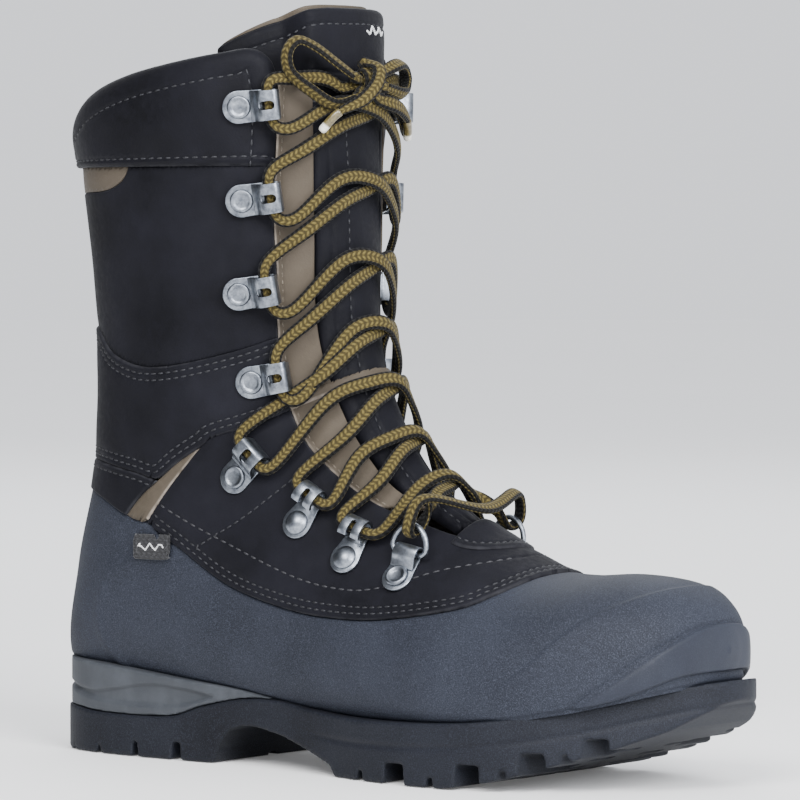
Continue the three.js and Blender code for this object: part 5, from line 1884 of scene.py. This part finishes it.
def crossing(sign, u_from, u_to, height):
    run = Run()
    steps = [(0.2, 0.54, RUN), (0.34, 0.28, RUN), (0.5, 0, height), (0.66, -0.28, RUN), (0.8, -0.54, RUN)]
    if max(u_from, u_to) > LEVEL_FROM:
        steps = steps[1:] if u_from > u_to else steps[:-1]
    for t, angle, h in steps:
        run.add(*skin_run(u_from + (u_to - u_from) * t, sign * angle, h))
    return run


def last_crossing(sign, height):
    run = Run()
    for u, angle, h in ((8.62, -0.3 * sign, RUN), (8.45, 0.0, height), (8.3, 0.3 * sign, RUN)):
        run.add(*skin_run(u, angle, h))
    return run


LACE_TOP = {"outer": [-13.4, -14.5, 266.5], "inner": [-13.4, 6.5, 266.5]}
SIGN = dict(SIDES)
OTHER = {"outer": "inner", "inner": "outer"}


def outward(point):
    p = np.asarray(point, float)
    return unit((p - LEG_AXIS) * [1, 1, 0] + [0, 0, 4])


def top_run(side):
    run = Run().add(LACE_TOP[side], outward(LACE_TOP[side]), 4.6)
    for u, angle, height in ((16.74, 0.34, 4.4), (16.84, 0.54, 4.6)):
        run.add(*skin_run(u, angle * SIGN[side], height))
    return run


def lace_run():
    run = top_run("outer")
    side = "outer"
    for level, (u, _, _) in enumerate(LEVELS):
        run.extend(through_eye(side, level))
        if level + 1 < len(LEVELS):
            run.extend(crossing(SIGN[side], u, LEVELS[level + 1][0], UNDER if level % 2 else OVER))
        else:
            run.extend(last_crossing(1 if side == "outer" else -1, OVER))
        side = OTHER[side]
    run.extend(round_wire(side).reversed())
    run.add(*skin_run(7.55, 0.0, 6.5))
    side = OTHER[side]
    run.extend(round_wire(side))
    side = OTHER[side]
    for level in range(len(LEVELS) - 1, -1, -1):
        start = OTHER[side]
        if level + 1 < len(LEVELS):
            height = OVER if level % 2 else UNDER
            run.extend(crossing(SIGN[start], LEVELS[level + 1][0], LEVELS[level][0], height))
        else:
            run.extend(last_crossing(-1 if start == "outer" else 1, UNDER).reversed())
        run.extend(through_eye(side, level).reversed())
        side = OTHER[side]
    return run.extend(top_run("inner").reversed())


KNOT_CENTRE = np.array([-9.5, -4.0, 268.5])
BOW = {
    "outer": [[-8.5, -13, 271.5], [-11, -20.5, 276.5], [-16, -28.5, 283], [-19.5, -34, 285],
              [-21.5, -37.5, 280.5], [-21, -37, 273], [-15.2, -30.3, 265.2], [-10.5, -21.5, 260],
              [-7, -13.5, 262.5]],
    "inner": [[-9, 5, 272.5], [-9.5, 15, 276], [-13.5, 25, 276.5], [-16.5, 31, 272], [-14.5, 28, 266.5],
              [-9.5, 19, 265], [-7.5, 7, 267]],
}
TAIL = {
    "outer": [[-9.5, -3.5, 276.5], [-3.5, -3, 274.5], [-1.2, -6.5, 269], [-2.5, -14, 262],
              [-8.5, -22.5, 256.4], [-14, -26, 249.5]],
    "inner": [[-7, 2.5, 262], [-6.5, 10.5, 260.5], [-9, 19.5, 258], [-13, 27.5, 254], [-17, 33, 247]],
}
AGLET = 11.0
TIP_SIDES = 20
BOW_LEAN = 0.6


def length_of(line):
    return float(np.linalg.norm(np.diff(line, axis=0), axis=1).sum())


def bow_loop(side):
    route = np.array(BOW[side])
    centre = route.mean(0)
    line, marks = rope_line(route, 0.8, 2)
    t = tangents(line)
    facing = []
    for mark in marks:
        k = int(round(mark * (len(line) - 1)))
        out = line[k] - centre
        out = unit(out - t[k] * (out @ t[k]))
        lean = outward(line[k])
        facing.append(unit(out + BOW_LEAN * lean))
    ends = [4.6] + [LACE_WIDTH] * (len(route) - 2) + [4.6]
    strand = (line, facing, marks, ends, [LACE_THICK] * len(route))
    obj = lace_piece(f"bow_{side}", [strand], f"bow_loop_{side}")


def lace_end(side):
    route = np.array(TAIL[side])
    line, _ = rope_line(route, 0.6, 1)
    total = length_of(line)
    tip = 1 - AGLET / total
    cut = int(round(tip * (len(line) - 1)))
    at = np.array([0, 0.12, tip - 0.22, tip - 0.02, tip, 1.0])
    facing = [outward(line[int(round(m * (len(line) - 1)))]) for m in at]
    width = [4.6, LACE_WIDTH, LACE_WIDTH - 0.4, 3.7, 3.1, 2.2]
    thick = [LACE_THICK, LACE_THICK, LACE_THICK, 3.0, 3.0, 2.2]
    cord = lace_piece(f"lace_tail_{side}", [(line[:-1], facing, at, width, thick)], f"lace_end_{side}")
    sleeve = line[cut:]
    radius = np.full(len(sleeve), 1.75)
    radius[0], radius[-1], radius[-2] = 1.6, 1.2, 1.6
    _, a, b = carried_frames(sleeve)
    angle = np.arange(TIP_SIDES) * 2 * math.pi / TIP_SIDES
    spokes = a[:, None] * np.cos(angle)[None, :, None] + b[:, None] * np.sin(angle)[None, :, None]
    verts = (sleeve[:, None] + radius[:, None, None] * spokes).reshape(-1, 3)
    n = len(sleeve)
    faces = ring_faces(n, TIP_SIDES)
    faces += [list(range(TIP_SIDES))[::-1], [TIP_SIDES * (n - 1) + j for j in range(TIP_SIDES)]]
    along = np.repeat(np.linspace(0, 1, n), TIP_SIDES)
    aglet = new_object(f"lace_tip_{side}", verts, faces, "boot", AGLET_PLASTIC, f"aglet_{side}",
                       attributes={"tip": along})


def knot():
    """A strand wrapped round the middle, with the ends of every other strand tucked into it."""
    c = KNOT_CENTRE
    strands = []
    wrap, facing = [], []
    for k in range(19):
        angle = 2 * math.pi * k / 14 - 2.2
        radial = np.array([math.cos(angle), 0, math.sin(angle)])
        wrap.append(c + radial * [3.6, 0, 4.9] + np.array([0, -3.2 + 0.36 * k, 0]))
        facing.append(unit(radial * [1 / 3.6, 0, 1 / 4.9]))
    line, marks = rope_line(wrap, 0.8, 1)
    strands.append((line, facing, marks, [5.6] * 19, [2.8] * 19))
    ends = [(BOW["outer"][0], BOW["outer"][1]), (BOW["outer"][-1], BOW["outer"][-2]),
            (BOW["inner"][0], BOW["inner"][1]), (BOW["inner"][-1], BOW["inner"][-2]),
            (TAIL["outer"][0], TAIL["outer"][1]), (TAIL["inner"][0], TAIL["inner"][1]),
            (LACE_TOP["outer"], None), (LACE_TOP["inner"], None)]
    for first, second in ends:
        first = np.array(first, float)
        back = unit(first - np.array(second, float)) if second is not None else unit(c - first)
        inside = c + (first - c) * [0.35, 0.25, 0.3]
        points = [first + back * 0.15, first + back * 1.6, inside * 0.6 + first * 0.4, inside]
        line, marks = rope_line(points, 0.8, 1)
        look = outward(first)
        strands.append((line, [look] * 4, marks, [4.6, 4.8, 4.2, 3.4], [2.9, 2.9, 2.8, 2.6]))
    lace_piece("knot_of_bow", strands, "bow_knot")


lace_piece("main_lace", [lace_run().strand(pitch=0.9, soften=24)], "lace")
for side, _ in SIDES:
    bow_loop(side)
    lace_end(side)
knot()


# ---- Parts inside the boot ------------------------------------------------------------------------
def dress(node, material):
    """Gives a CAD part that stays a finished material."""
    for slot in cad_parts[node].material_slots:
        slot.material = material


dress("insole_board", FOOTBED_FELT)
dress("shank", PEWTER)
dress("heel_counter", STIFFENER)
dress("toe_puff", STIFFENER)
